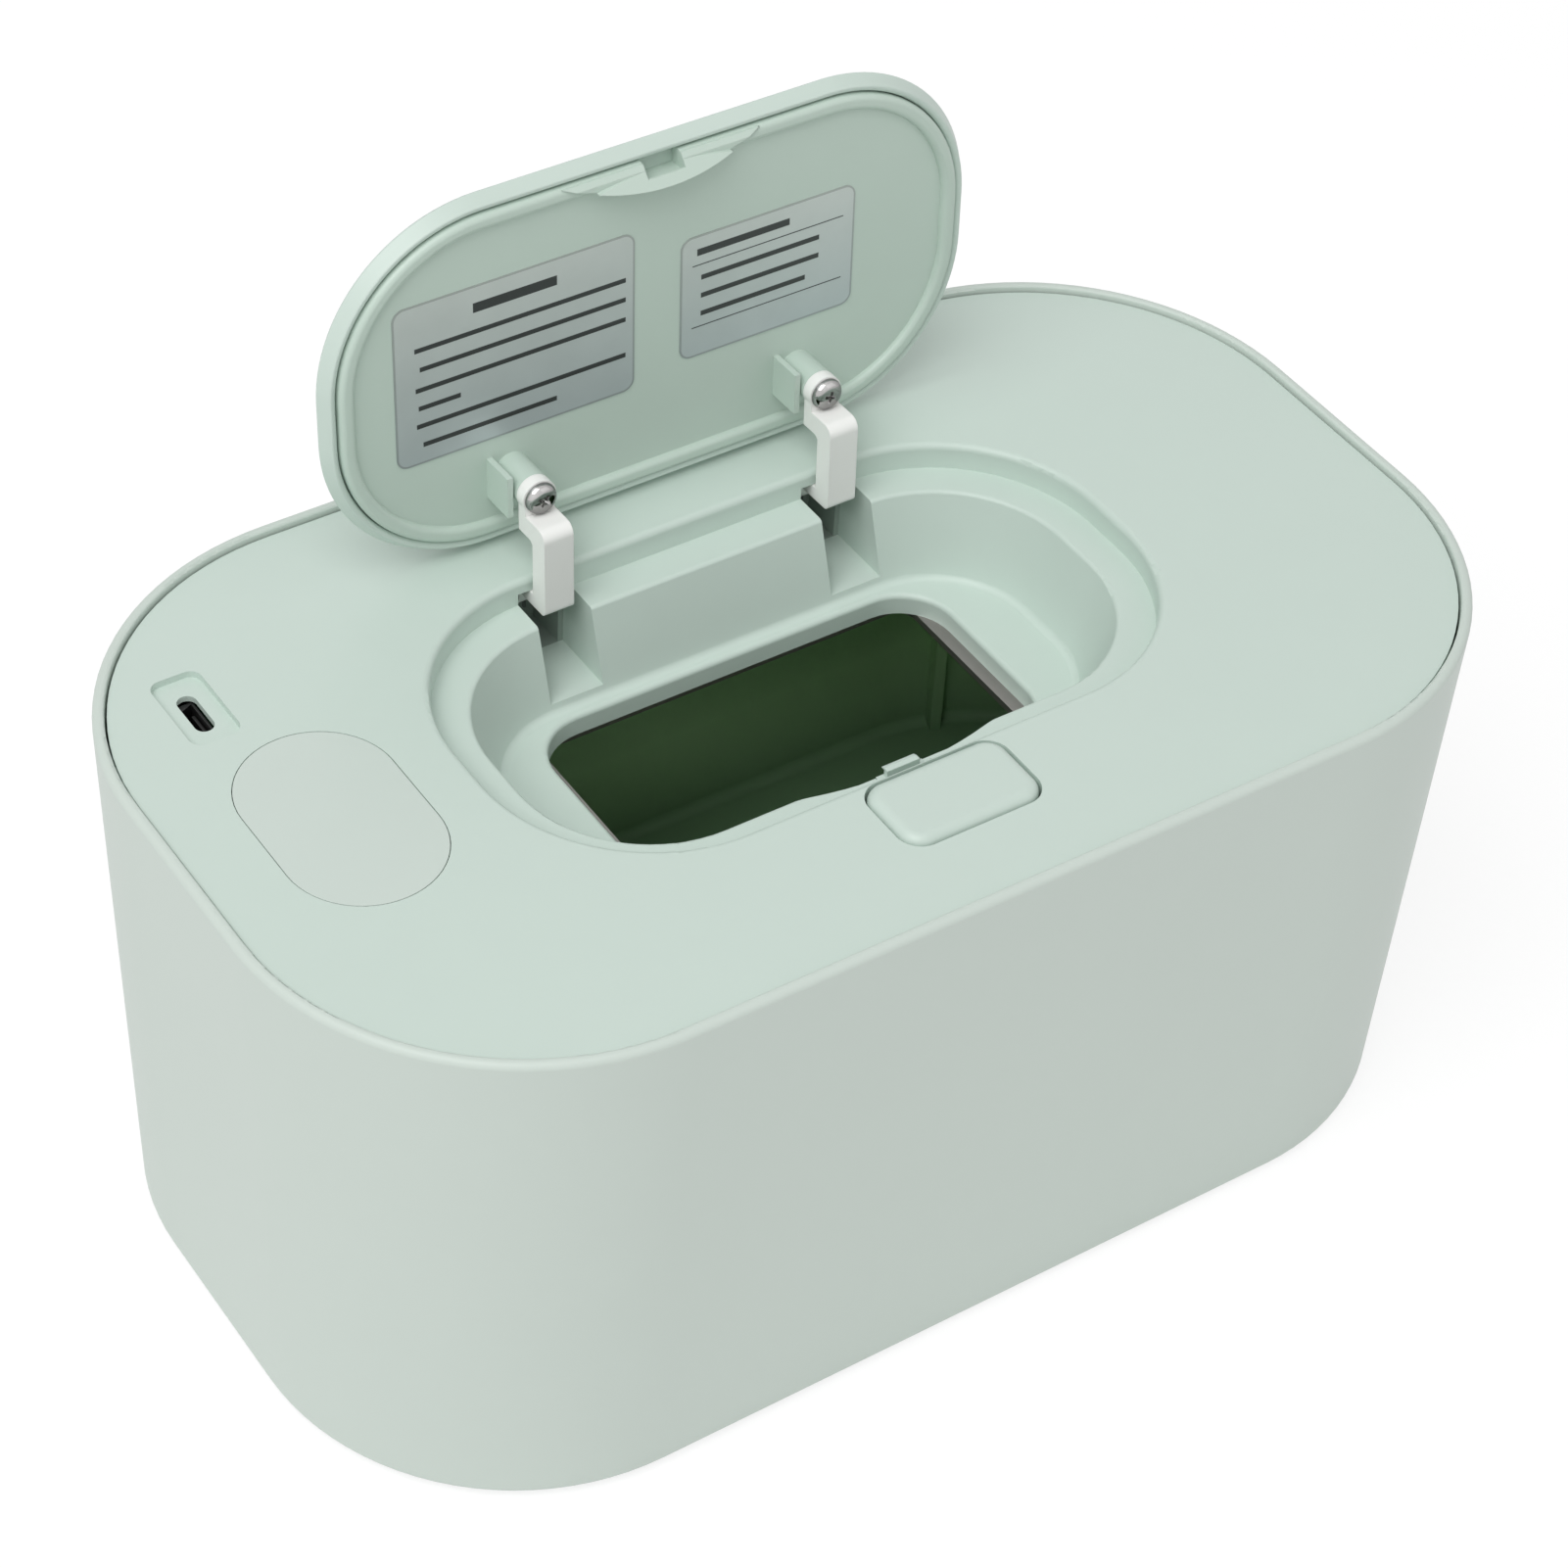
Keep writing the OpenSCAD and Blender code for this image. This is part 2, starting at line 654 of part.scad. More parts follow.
// The room inside the recess and the well, with its rounded edges.
module dish_room() {
    brink = [recess_r, z_panel];
    corner = [recess_r, z_ledge];
    edge = [ledge_r, z_ledge];
    foot = [well_r(z_well), z_well];
    swept_solid(rcx, rcy, z_well, z_panel + 1) union() {
        difference() {
            polygon([[0, z_well], foot, edge, corner, brink, [recess_r, z_panel + 1], [0, z_panel + 1]]);
            corner_bit(foot, [0, z_well], edge, well_round);
        }
        corner_bit(brink, [dish_out_r, z_panel], corner, recess_round);
        corner_bit(edge, corner, foot, ledge_round);
    }
}

// Finger scoop in the front ledge: an upright cylinder that bites into its edge.
module scoop(grow, z) {
    intersection() {
        translate([0, scoop_y, z]) cylinder(r = scoop_r + grow, h = z_ledge - z, $fn = 180);
        translate([-scoop_half - 3, scoop_edge - scoop_in - 6, z]) cube([2 * scoop_half + 6, 12, z_ledge - z]);
    }
}

// Walls of the channel that an arm swings in.
module channel_block(side) {
    w = channel_w + 2 * dish_t;
    translate([side * hinge_x - w / 2, recess_back - 14, channel_z - dish_t])
        cube([w, 14 + dish_t, z_ledge - channel_z]);
}

module channel_cut(side) {
    translate([side * hinge_x - channel_w / 2, 0, channel_z]) {
        cube([channel_w, recess_back, channel_depth + 1]);
        translate([0, recess_back - 1, 0]) cube([channel_w, dish_t + 2, channel_depth - hole_top]);
    }
}

module opening_room() {
    low = z_heater_top - 1;
    high = z_well + 1;
    brink = [opening_r, z_well];
    swept_solid(opening_l / 2 - opening_r, opening_w / 2 - opening_r, low, high) union() {
        polygon([[0, low], [opening_r, low], [opening_r, high], [0, high]]);
        corner_bit(brink, brink + [5, 0], brink - [0, 5], opening_round);
    }
}

module pilot(z0, z1) {
    translate([0, 0, z0 - eps]) cylinder(d = screw_d, h = z1 - z0 + eps);
}

module boss(z0) {
    translate([0, 0, z0]) cylinder(d = boss_d, h = z_under - z0 + eps);
}

module top_panel() {
    color(mint) difference() {
        union() {
            translate([0, 0, z_under]) linear_extrude(panel_t) outline(cx, cy, panel_r);
            translate([0, 0, z_plate_top]) linear_extrude(z_under - z_plate_top) difference() {
                outline(cx, cy, skirt_r);
                outline(cx, cy, skirt_in_r);
            }
            dish_block();
            scoop(dish_t, z_scoop - dish_t);
            for (side = [-1, 1]) {
                channel_block(side);
                at_housing_screws(side) boss(housing_tab_z);
            }
            translate([0, 0, z_heater_top]) linear_extrude(z_well - z_heater_top - 0.5)
                rounded(opening_l + 2 * lip_t, opening_w + 2 * lip_t, opening_r + lip_t);
            at_cover_screws() boss(z_plate_top);
            for (p = board_screws_at) translate(p) boss(z_board_top);
            for (i = [-1, 1]) translate([i * frame_screw_x, -button_y - 3, 0]) boss(z_wing);
        }
        dish_room();
        scoop(0, z_scoop);
        opening_room();
        for (side = [-1, 1]) {
            channel_cut(side);
            at_housing_screws(side) pilot(housing_tab_z, z_under);
        }
        latch_slot();
        button_hole();
        window_hole();
        plug_hole();
        at_cover_screws() pilot(z_plate_top, z_plate_top + cover_bite + 2);
        for (p = board_screws_at) translate(p) pilot(z_board_top, z_under);
        for (i = [-1, 1]) translate([i * frame_screw_x, -button_y - 3, 0]) pilot(z_wing, z_under);
    }
}

module latch_slot() {
    w = block_w + 2 * slide_gap + 0.4;
    front = block_front - latch_travel - pocket_gap;
    translate([-w / 2, front, z_slider_top - eps]) cube([w, block_back + slide_gap - front, z_ledge + 1 - z_slider_top]);
}

module button_hole() {
    low = z_under - button_flange_t - button_travel - slide_gap;
    translate([0, -button_y, low]) linear_extrude(z_panel + 1 - low)
        rounded(button_l + 2 * button_gap, button_w + 2 * button_gap, button_r + button_gap);
}

module window_hole() {
    translate([window_x, 0, z_panel - window_t]) linear_extrude(window_t + 1) stadium(window_l, window_w);
    translate([window_x, 0, z_under - 1]) linear_extrude(panel_t)
        stadium(window_l - 2 * window_seat, window_w - 2 * window_seat);
}

module plug_hole() {
    translate([plug_x, plug_y, 0]) {
        translate([0, 0, z_panel - plug_depth]) linear_extrude(plug_depth + 1) rounded(plug_l, plug_w, 2);
        translate([0, 0, z_under - 1]) linear_extrude(panel_t + 1) stadium(slot_l, slot_w);
    }
}

module under_cover() {
    color([0.90, 0.91, 0.90]) translate([0, 0, z_film_top]) linear_extrude(under_t) difference() {
        outline(cx, cy, skirt_r);
        outline(rcx, rcy, under_open_r);
        at_cover_screws() circle(d = screw_d + 2 * screw_gap);
        sensor_windows();
    }
}

// Windows over the film for the fuse, the sensor and the wires.
module sensor_windows() {
    translate(fuse_at) rounded(fuse_d + 1.2, fuse_l + 2, 1.5);
    translate(sensor_at) circle(d = sensor_d + 1);
    translate(wires_at) rounded(5, 10, 2);
}

module heater_plate() {
    color([0.62, 0.60, 0.59]) translate([0, 0, z_heater]) linear_extrude(heater_t) difference() {
        outline(cx, cy, skirt_r);
        rounded(heater_open_l, heater_open_w, heater_open_r);
        at_cover_screws() circle(d = screw_d + 2 * screw_gap);
    }
}

module heating_film() {
    color([0.80, 0.50, 0.20]) translate([0, 0, z_heater_top]) linear_extrude(film_t) difference() {
        outline(cx, cy, skirt_r - film_inset);
        outline(rcx, rcy, under_open_r);
        at_cover_screws() circle(d = boss_d);
    }
}

module insulation_pad() {
    color([0.93, 0.92, 0.88]) translate([0, 0, z_plate_top]) linear_extrude(pad_t) difference() {
        outline(cx, cy, skirt_in_r - pad_gap);
        outline(rcx, rcy, under_open_r + well_skin);
        at_cover_screws() circle(d = boss_d + 0.6);
        sensor_windows();
        for (side = [-1, 1]) translate([side * hinge_x, housing_back / 2])
            square([channel_w + 2 * dish_t + 1, housing_back + 2 * housing_t + 1], center = true);
    }
}

// Ring that fills the space between skirt and liner, under the panel.
module cover_seal() {
    top = z_under - 1;
    inner = skirt_r + seal_gap;
    outer = liner_in_r(top - seal_h) - liner_gap + seal_gap;
    color([0.86, 0.87, 0.86]) swept(cx, cy)
        polygon([[inner, top - seal_h], [inner, top], [outer, top - 1.5], [outer, top - seal_h + 0.5]]);
}

module cover_screws() {
    color([0.75, 0.75, 0.76]) at_cover_screws() translate([0, 0, z_heater])
        pan_screw(screw_head, screw_head_h, screw_d, z_plate_top + cover_bite - z_heater);
}

module control_board() {
    color([0.10, 0.35, 0.20]) translate([0, 0, z_board]) linear_extrude(board_t) difference() {
        intersection() {
            translate([board_x[0], board_y[0]]) square([board_x[1] - board_x[0], board_y[1] - board_y[0]]);
            outline(cx, cy, skirt_in_r - 0.6);
        }
        for (p = board_screws_at) translate(p) circle(d = screw_d + 2 * screw_gap);
    }
}

module board_screws() {
    color([0.75, 0.75, 0.76]) for (p = board_screws_at) translate([p[0], p[1], z_board])
        pan_screw(screw_head, screw_head_h, screw_d, board_t + small_bite);
}

// Upright socket: a shell with the plug's cavity and a tongue.
module micro_usb_socket() {
    wall = 0.4;
    floor_t = 1.2;
    side = socket_l / 2 - wall;
    reach = socket_w / 2 - wall;
    tongue_w = 4;
    color([0.08, 0.08, 0.08]) translate([plug_x, plug_y, z_board_top]) {
        linear_extrude(floor_t) square([socket_l, socket_w], center = true);
        linear_extrude(socket_h) difference() {
            square([socket_l, socket_w], center = true);
            polygon([[-side, 0.8 - reach], [-side, reach - 0.8], [side, reach], [side, -reach]]);
        }
        translate([0.25, -tongue_w / 2, floor_t - eps]) cube([0.5, tongue_w, socket_h - floor_t - 1]);
    }
}

module touch_window() {
    color([0.78, 0.83, 0.81]) translate([window_x, 0, z_panel - window_t]) linear_extrude(window_t)
        stadium(window_l - 2 * window_gap, window_w - 2 * window_gap);
}

module light_display() {
    color([0.85, 0.85, 0.84]) translate([window_x, 6, z_board_top]) linear_extrude(display_h)
        rounded(12, 18, 1);
}

module touch_spring() {
    color([0.80, 0.80, 0.80]) translate([window_x, -11, z_board_top])
        coil(2.6, z_panel - window_t - z_board_top, 5, 0.5);
}

module temperature_sensor() {
    color([0.15, 0.15, 0.15]) translate([sensor_at[0], sensor_at[1], z_film_top]) {
        cylinder(d = sensor_d, h = 0.8);
        cylinder(d = 3, h = 3);
    }
}

module thermal_fuse() {
    color([0.70, 0.72, 0.74]) translate([fuse_at[0], fuse_at[1] - fuse_l / 2, z_film_top + fuse_d / 2])
        rotate([-90, 0, 0]) cylinder(d = fuse_d, h = fuse_l);
}

// Two leads from the film up to the board.
module heater_wires() {
    color([0.75, 0.12, 0.10]) for (j = [-1, 1]) {
        foot = [wires_at[0], j * 2.5, z_film_top];
        wire([foot, foot + [0, 0, 5], foot + [-1, 0, 7], foot + [-4, 0, 8.5],
            [foot[0] - 6, foot[1], z_board - 1.5], [foot[0] - 6, foot[1], z_board]], 0.7);
    }
}

// Hinge

module hinge_housing(side) {
    top = z_under;
    color(white_arm) translate([side * hinge_x, 0, 0]) difference() {
        union() {
            translate([-housing_out_w / 2, housing_y, channel_z - housing_t])
                cube([housing_out_w, housing_back + housing_t - housing_y, top - channel_z + housing_t]);
            for (i = [-1, 1]) translate([i * housing_screw_x, housing_screw_y, housing_tab_z - housing_tab_t]) {
                cylinder(d = boss_d, h = housing_tab_t);
                translate([i > 0 ? -boss_d / 2 - 1 : 0, -boss_d / 2, 0])
                    cube([boss_d / 2 + 1, boss_d, housing_tab_t]);
            }
        }
        translate([-housing_in_w / 2, housing_y - 1, channel_z])
            cube([housing_in_w, housing_back - housing_y + 1, top + 1 - channel_z]);
        for (i = [-1, 1]) translate([i * housing_screw_x, housing_screw_y, 0])
            translate([0, 0, housing_tab_z - housing_tab_t - 1])
                cylinder(d = screw_d + 2 * screw_gap, h = housing_tab_t + 2);
        translate([-housing_out_w, pivot_y, pivot_z]) rotate([0, 90, 0])
            cylinder(d = pin_d, h = 2 * housing_out_w);
    }
}

module housing_screws() {
    color([0.75, 0.75, 0.76]) for (side = [-1, 1]) at_housing_screws(side)
        translate([0, 0, housing_tab_z - housing_tab_t])
            pan_screw(screw_head, screw_head_h, screw_d, housing_tab_t + small_bite);
}

module hinge_pins() {
    color([0.80, 0.80, 0.82]) for (side = [-1, 1])
        translate([side * hinge_x - housing_out_w / 2, pivot_y, pivot_z]) rotate([0, 90, 0])
            cylinder(d = pin_d, h = housing_out_w);
}

// Torsion spring beside the hub. One leg stands in the housing and one bears on the open arm.
module hinge_springs() {
    turns = 3 + 1 / 3;
    steps = turns * 12;
    pitch = (hinge_wire + 0.05) * 3 / turns;
    leg = 7;
    leg_lift = 1.05 - hinge_wire / 2;
    for (side = [-1, 1]) color([0.75, 0.75, 0.78])
        translate([side * hinge_x - hub_side + hub_w + 0.2 + hinge_wire / 2, pivot_y, pivot_z])
            wire(concat(
                [[0, spring_coil_r, -leg]],
                [for (i = [0 : steps])
                    [i * pitch / 12, spring_coil_r * cos(30 * i), spring_coil_r * sin(30 * i)]],
                [[turns * pitch, -leg - 1.5, leg_lift]]), hinge_wire / 2, 6);
}

// Side view of an arm about the hinge axis, shut: hub, link, stem and bridge.
module arm_side() {
    link_in = arm_t - 0.4;
    stem_top = -arm_drop + arm_t;
    seat_bottom = -seat_drop - flange_t;
    difference() {
        union() {
            polygon([[-0.9, -arm_drop], [-0.9, -1], [-link_in, -1], [-link_in, stem_top],
                [-arm_reach + 3.5, stem_top], [-arm_reach + 3.5, -seat_drop], [-arm_reach, -seat_drop],
                [-arm_reach, -arm_drop]]);
            corner_bit([-arm_reach + 3.5, stem_top], [-link_in, stem_top], [-arm_reach + 3.5, seat_bottom], 1);
        }
        corner_bit([-arm_reach, -arm_drop], [-0.9, -arm_drop], [-arm_reach, -seat_drop], 1.9);
        corner_bit([-0.9, -arm_drop], [-arm_reach, -arm_drop], [-0.9, 0], 1);
    }
}

module hinge_arm(side) {
    x0 = side * hinge_x - arm_w / 2;
    split = arm_drop - arm_t;
    color(white_arm) lid_pose() difference() {
        union() {
            translate([x0, pivot_y, pivot_z]) rotate([90, 0, 90]) intersection() {
                linear_extrude(arm_w) arm_side();
                translate([-arm_reach - 1, -arm_drop - 1, 0]) cube([arm_reach + 2, arm_drop + 1 - split, arm_w]);
            }
            translate([x0, pivot_y, pivot_z]) rotate([90, 0, 90]) intersection() {
                linear_extrude(arm_w) arm_side();
                translate([-arm_reach - 1, -split - 1, 0]) cube([5, split + 1, arm_w]);
            }
            translate([x0, pivot_y, pivot_z]) rotate([90, 0, 90]) linear_extrude(hub_w) union() {
                circle(d = hub_d);
                translate([-arm_t + 0.4, -split - 0.5]) square([arm_t - 1.3, split + 0.5]);
            }
            translate([x0, lid_screw_y, z_seat - flange_t]) cube([arm_w, screw_reach - arm_reach + 1, flange_t]);
            translate([side * hinge_x, lid_screw_y, z_seat - flange_t]) cylinder(d = lid_boss_d, h = flange_t);
        }
        translate([x0 - 1, pivot_y, pivot_z]) rotate([0, 90, 0])
            cylinder(d = pin_d + 2 * pin_gap, h = arm_w + 2);
        translate([side * hinge_x, lid_screw_y, z_seat - flange_t - 1])
            cylinder(d = screw_d + 2 * screw_gap, h = flange_t + 2);
    }
}

// Lid

module lid_outer() {
    inner = lid_r - lid_rim;
    low = lid_r - rim_lean;
    color(mint) lid_pose() union() {
        translate([0, 0, z_lid_skin]) linear_extrude(lid_skin) outline(rcx, rcy, inner + 0.5);
        swept(rcx, rcy) difference() {
            polygon([[inner, rim_front], [low, rim_front], [lid_r, rim_lean_z], [lid_r, z_panel], [inner, z_panel]]);
            corner_bit([lid_r, z_panel], [inner, z_panel], [lid_r, rim_lean_z], lid_round);
            corner_bit([low, rim_front], [inner, rim_front], [lid_r, rim_lean_z], 0.3);
            corner_bit([inner, rim_front], [low, rim_front], [inner, z_panel], lip_round);
        }
    }
}

module lid_inner() {
    color(mint_inner) lid_pose() difference() {
        union() {
            translate([0, 0, z_lid_face]) linear_extrude(lid_plate) outline(rcx, rcy, lip_out_r - 0.5);
            swept(rcx, rcy) difference() {
                polygon([[lip_in_r, z_lip], [lip_out_r, z_lip], [lip_out_r, z_lid_skin], [lip_in_r, z_lid_skin]]);
                corner_bit([lip_out_r, z_lip], [lip_in_r, z_lip], [lip_out_r, z_lid_skin], lip_round);
                corner_bit([lip_in_r, z_lip], [lip_out_r, z_lip], [lip_in_r, z_lid_face], lip_round);
            }
            crescent();
            for (side = [-1, 1]) translate([side * hinge_x, lid_screw_y, z_seat]) {
                cylinder(d = lid_boss_d, h = z_lid_face - z_seat + eps);
                lid_rib();
            }
        }
        latch_pocket();
        for (side = [-1, 1]) translate([side * hinge_x, lid_screw_y, z_seat - eps])
            cylinder(d = screw_d, h = z_lid_face - z_seat - 0.4);
    }
}

// Crescent that carries the catch: a ramp on the lip that comes down into the finger scoop.
module crescent() {
    low = z_lip - ramp_h;
    high = z_lid_skin;
    shelf = z_ledge + ramp_gap / 2;
    intersection() {
        translate([0, crescent_tip - crescent_r, low]) cylinder(r = crescent_r, h = high - low, $fn = 180);
        translate([-crescent_half, 0, 0]) rotate([90, 0, 90]) linear_extrude(2 * crescent_half)
            polygon([[ramp_back, z_lip], [crescent_tip, low], [crescent_tip, high], [ramp_back, high]]);
        union() {
            translate([0, scoop_y, low]) cylinder(r = scoop_r - ramp_gap, h = high - low, $fn = 180);
            translate([-crescent_half, ramp_back, shelf]) cube([2 * crescent_half, crescent_in, high - shelf]);
        }
    }
}

// Rib beside a screw boss that keeps the arm from turning.
module lid_rib() {
    translate([-lid_boss_d / 2 - 1.3, -3.3, 0.4]) cube([1, 7.3, z_lid_face - z_seat - 0.4 + eps]);
}

// The mouth for the hook, and the undercut behind the catch.
module latch_pocket() {
    roof = z_lid_skin + eps;
    low = z_lip - ramp_h;
    depth = nose_tip + nose_gap - pocket_front;
    translate([-pocket_w / 2, pocket_front, low]) cube([pocket_w, pocket_back - pocket_front, roof - low]);
    translate([-pocket_w / 2, pocket_front, z_catch]) cube([pocket_w, depth, roof - z_catch]);
}

module lid_screws() {
    color([0.80, 0.80, 0.82]) lid_pose() for (side = [-1, 1])
        translate([side * hinge_x, lid_screw_y, z_seat - flange_t])
            pan_screw(lid_screw_head, lid_screw_head_h, screw_d, flange_t + lid_bite);
}

// A bare label stuck on the lid's inner face; x and y place its centre on the shut lid.
module label(x, y, l, w) {
    color([0.72, 0.73, 0.72]) lid_pose() translate([x, y, z_lid_face - label_t]) linear_extrude(label_t)
        rounded(l, w, label_r);
}

// Latch

module release_button() {
    top = z_panel + button_proud;
    skirt = z_under - button_flange_t;
    under = top - button_cap_t;
    color(mint) translate([0, -button_y, 0]) {
        difference() {
            union() {
                swept_solid(button_l / 2 - button_r, button_w / 2 - button_r, skirt, top) difference() {
                    polygon([[0, skirt], [button_r, skirt], [button_r, top], [0, top]]);
                    corner_bit([button_r, top], [0, top], [button_r, skirt], button_round);
                }
                translate([0, 0, skirt]) linear_extrude(button_flange_t)
                    rounded(button_l + 2 * button_flange, button_w - 2 * button_r, 1);
            }
            translate([0, 0, skirt - 1]) linear_extrude(under - skirt + 1)
                rounded(button_l - 2 * button_skin, button_w - 2 * button_skin, button_r - button_skin);
        }
        translate([0, button_y, 0]) button_leg(under);
    }
}

// Leg whose wedge pushes the slider forward.
module button_leg(under) {
    tip = z_slider - 0.3;
    broad = z_slider_top + button_travel;
    face = wedge_y + slide_gap;
    translate([-1.5, 0, 0]) rotate([90, 0, 90]) linear_extrude(3) polygon([
        [face - wedge * (tip - z_slider), tip], [leg_back, tip], [leg_back, under + eps],
        [face - wedge * (broad - z_slider), under + eps], [face - wedge * (broad - z_slider), broad]]);
}

module latch_slider() {
    color(white_arm) {
        difference() {
            translate([-slider_w / 2, slider_front, z_slider])
                cube([slider_w, block_back - slider_front, slider_t]);
            translate([-1.5 - slide_gap, 0, 0]) rotate([90, 0, 90]) linear_extrude(3 + 2 * slide_gap) polygon([
                [wedge_y + wedge, z_slider - 2 * 0.5], [leg_back + latch_travel + slide_gap, z_slider - 1],
                [leg_back + latch_travel + slide_gap, z_slider_top + 1],
                [wedge_y - wedge * (slider_t + 1), z_slider_top + 1], [wedge_y, z_slider]]);
        }
        translate([-block_w / 2, block_front, z_slider_top - eps])
            cube([block_w, block_back - block_front, z_block_top - z_slider_top + eps]);
        translate([-hook_w / 2, 0, 0]) rotate([90, 0, 90]) linear_extrude(hook_w) polygon([
            [hook_front, z_block_top - eps], [hook_back, z_block_top - eps], [hook_back, z_nose],
            [nose_tip, z_nose], [nose_tip, z_nose + nose_h * 0.3], [hook_back, z_hook_top],
            [hook_front, z_hook_top]]);
        translate([0, slider_front + eps, z_slider + slider_t / 2]) rotate([90, 0, 0])
            cylinder(d = 1.4, h = 2.2);
    }
}

// Frame under the button: a channel that guides the slider, with wings for the springs and screws.
module latch_frame() {
    back = -(rcy + dish_out_r) + 1.5;
    z_shelf = z_slider - slide_gap;
    z_floor = z_frame_floor - frame_floor_t;
    far = frame_front - 1.6;
    color([0.88, 0.89, 0.88]) difference() {
        union() {
            translate([-rail_in - rail_t, far, z_floor])
                cube([2 * (rail_in + rail_t), back - far, z_wing - z_floor]);
            translate([-frame_screw_x - 3, -button_y - 7, z_wing - wing_t])
                cube([2 * frame_screw_x + 6, 8, wing_t]);
        }
        translate([-rail_in, frame_front, z_shelf])
            cube([2 * rail_in, back + 1 - frame_front, z_slider_top + slide_gap - z_shelf]);
        translate([-rail_in + 1.2, frame_front, z_frame_floor])
            cube([2 * rail_in - 2.4, back + 1 - frame_front, z_wing + 1 - z_frame_floor]);
        for (i = [-1, 1]) translate([i * frame_screw_x, -button_y - 3, z_wing - wing_t - 1])
            cylinder(d = screw_d + 2 * screw_gap, h = wing_t + 2);
    }
}

module frame_screws() {
    color([0.75, 0.75, 0.76]) for (i = [-1, 1]) translate([i * frame_screw_x, -button_y - 3, z_wing - wing_t])
        pan_screw(screw_head, screw_head_h, screw_d, wing_t + small_bite);
}

module button_springs() {
    color([0.78, 0.78, 0.80]) for (i = [-1, 1]) translate([i * button_spring_x, -button_y - 3, z_wing])
        coil(button_spring_r, z_panel + button_proud - button_cap_t - z_wing, 6, small_wire);
}

module latch_spring() {
    color([0.78, 0.78, 0.80]) translate([0, slider_front, z_slider + slider_t / 2]) rotate([90, 0, 0])
        coil(latch_spring_r, slider_front - frame_front, 5, small_wire);
}

outer_shell();
inner_liner();
rubber_feet();
top_panel();
under_cover();
heater_plate();
heating_film();
insulation_pad();
cover_seal();
cover_screws();
control_board();
board_screws();
micro_usb_socket();
touch_window();
light_display();
touch_spring();
temperature_sensor();
thermal_fuse();
heater_wires();
hinge_housing(-1);  // left_hinge_housing
hinge_housing(1);  // right_hinge_housing
housing_screws();
hinge_pins();
hinge_springs();
latch_frame();
frame_screws();
button_springs();
latch_spring();
lid_outer();
lid_inner();
hinge_arm(-1);  // left_hinge_arm
hinge_arm(1);  // right_hinge_arm
lid_screws();
label(left_label_x, left_label_y, left_label_l, left_label_w);  // left_label
label(right_label_x, right_label_y, right_label_l, right_label_w);  // right_label
release_button();
latch_slider();
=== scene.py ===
"""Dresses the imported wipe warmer: finishes, screws, ejector marks, clean copies, light and camera."""

import json
import math

import bmesh
import bpy
from mathutils import Matrix, Vector


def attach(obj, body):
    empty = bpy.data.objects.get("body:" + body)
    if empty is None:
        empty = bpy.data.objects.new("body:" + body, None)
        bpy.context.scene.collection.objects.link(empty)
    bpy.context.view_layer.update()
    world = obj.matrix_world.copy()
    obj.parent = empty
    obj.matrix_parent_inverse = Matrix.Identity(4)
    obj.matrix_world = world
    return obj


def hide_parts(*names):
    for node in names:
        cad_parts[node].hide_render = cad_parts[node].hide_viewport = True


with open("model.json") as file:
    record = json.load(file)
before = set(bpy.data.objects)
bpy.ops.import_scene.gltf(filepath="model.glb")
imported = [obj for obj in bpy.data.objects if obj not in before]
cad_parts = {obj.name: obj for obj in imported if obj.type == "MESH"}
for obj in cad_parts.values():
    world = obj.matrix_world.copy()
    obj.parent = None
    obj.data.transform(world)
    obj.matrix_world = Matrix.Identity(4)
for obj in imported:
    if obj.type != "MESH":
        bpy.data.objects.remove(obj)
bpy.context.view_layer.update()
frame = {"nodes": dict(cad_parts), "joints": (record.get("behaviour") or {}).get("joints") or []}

MM = 0.001

# The lid's hinge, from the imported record. Lid pieces are modelled shut and swung open.
HINGE = next(joint for joint in frame["joints"] if joint["name"] == "lid_hinge")
PIVOT = Vector(HINGE["pos_m"])
LID_OPEN = math.radians(HINGE["range_deg"][0])
LID_SWING = (
    Matrix.Translation(PIVOT) @ Matrix.Rotation(LID_OPEN, 4, "X") @ Matrix.Translation(-PIVOT))

# Places on the shut lid, in millimetres, as in the part's source.
LID_FACE_Z = 94.26
LID_SCREW_X = 26.0
LID_SCREW_Y = 18.55
LID_SCREW_SEAT_Z = 85.65
EJECTOR_MARKS = [
    (36.0, -21.6), (49.6, 0.8), (17.9, 23.6), (-17.2, 24.2),
    (-36.3, 22.3), (-49.3, 0.8), (-39.1, -20.4), (-12.7, -23.4),
]

# Finish colours, linear.
MINT = (0.600, 0.705, 0.645)
MINT_SHELL = (0.612, 0.688, 0.636)
# Painted shade: the lid's inner face is drawn in a darker copy of the mint.
MINT_LID_INNER_SHADED = (0.560, 0.672, 0.600)
MINT_WINDOW = (0.610, 0.690, 0.640)
# Painted shade: the liner is drawn darker towards its floor.
LINER_PAINTED_SHADE = (0.190, 0.330, 0.180)
LINER_HIGH = (0.520, 0.760, 0.440)
ARM_WHITE = (0.930, 0.935, 0.910)
# Painted shade: the hinge housings are drawn in the mint darkened to the shade inside their pockets.
HOUSING_PAINTED_SHADE = (0.330, 0.390, 0.350)
FRAME_WHITE = (0.740, 0.750, 0.735)
HEATER_GREY = (0.400, 0.370, 0.360)
FILM_AMBER = (0.420, 0.170, 0.030)
PAD_CREAM = (0.760, 0.740, 0.670)
SEAL_PALE = (0.640, 0.660, 0.650)
BOARD_GREEN = (0.012, 0.120, 0.040)
PORT_BLACK = (0.010, 0.010, 0.010)
FOOT_DARK = (0.040, 0.045, 0.042)
DISPLAY_WHITE = (0.680, 0.680, 0.650)
WIRE_RED = (0.400, 0.015, 0.010)
STEEL = (0.560, 0.560, 0.570)
SPRING_DARK = (0.200, 0.210, 0.205)
CHROME = (0.760, 0.750, 0.740)
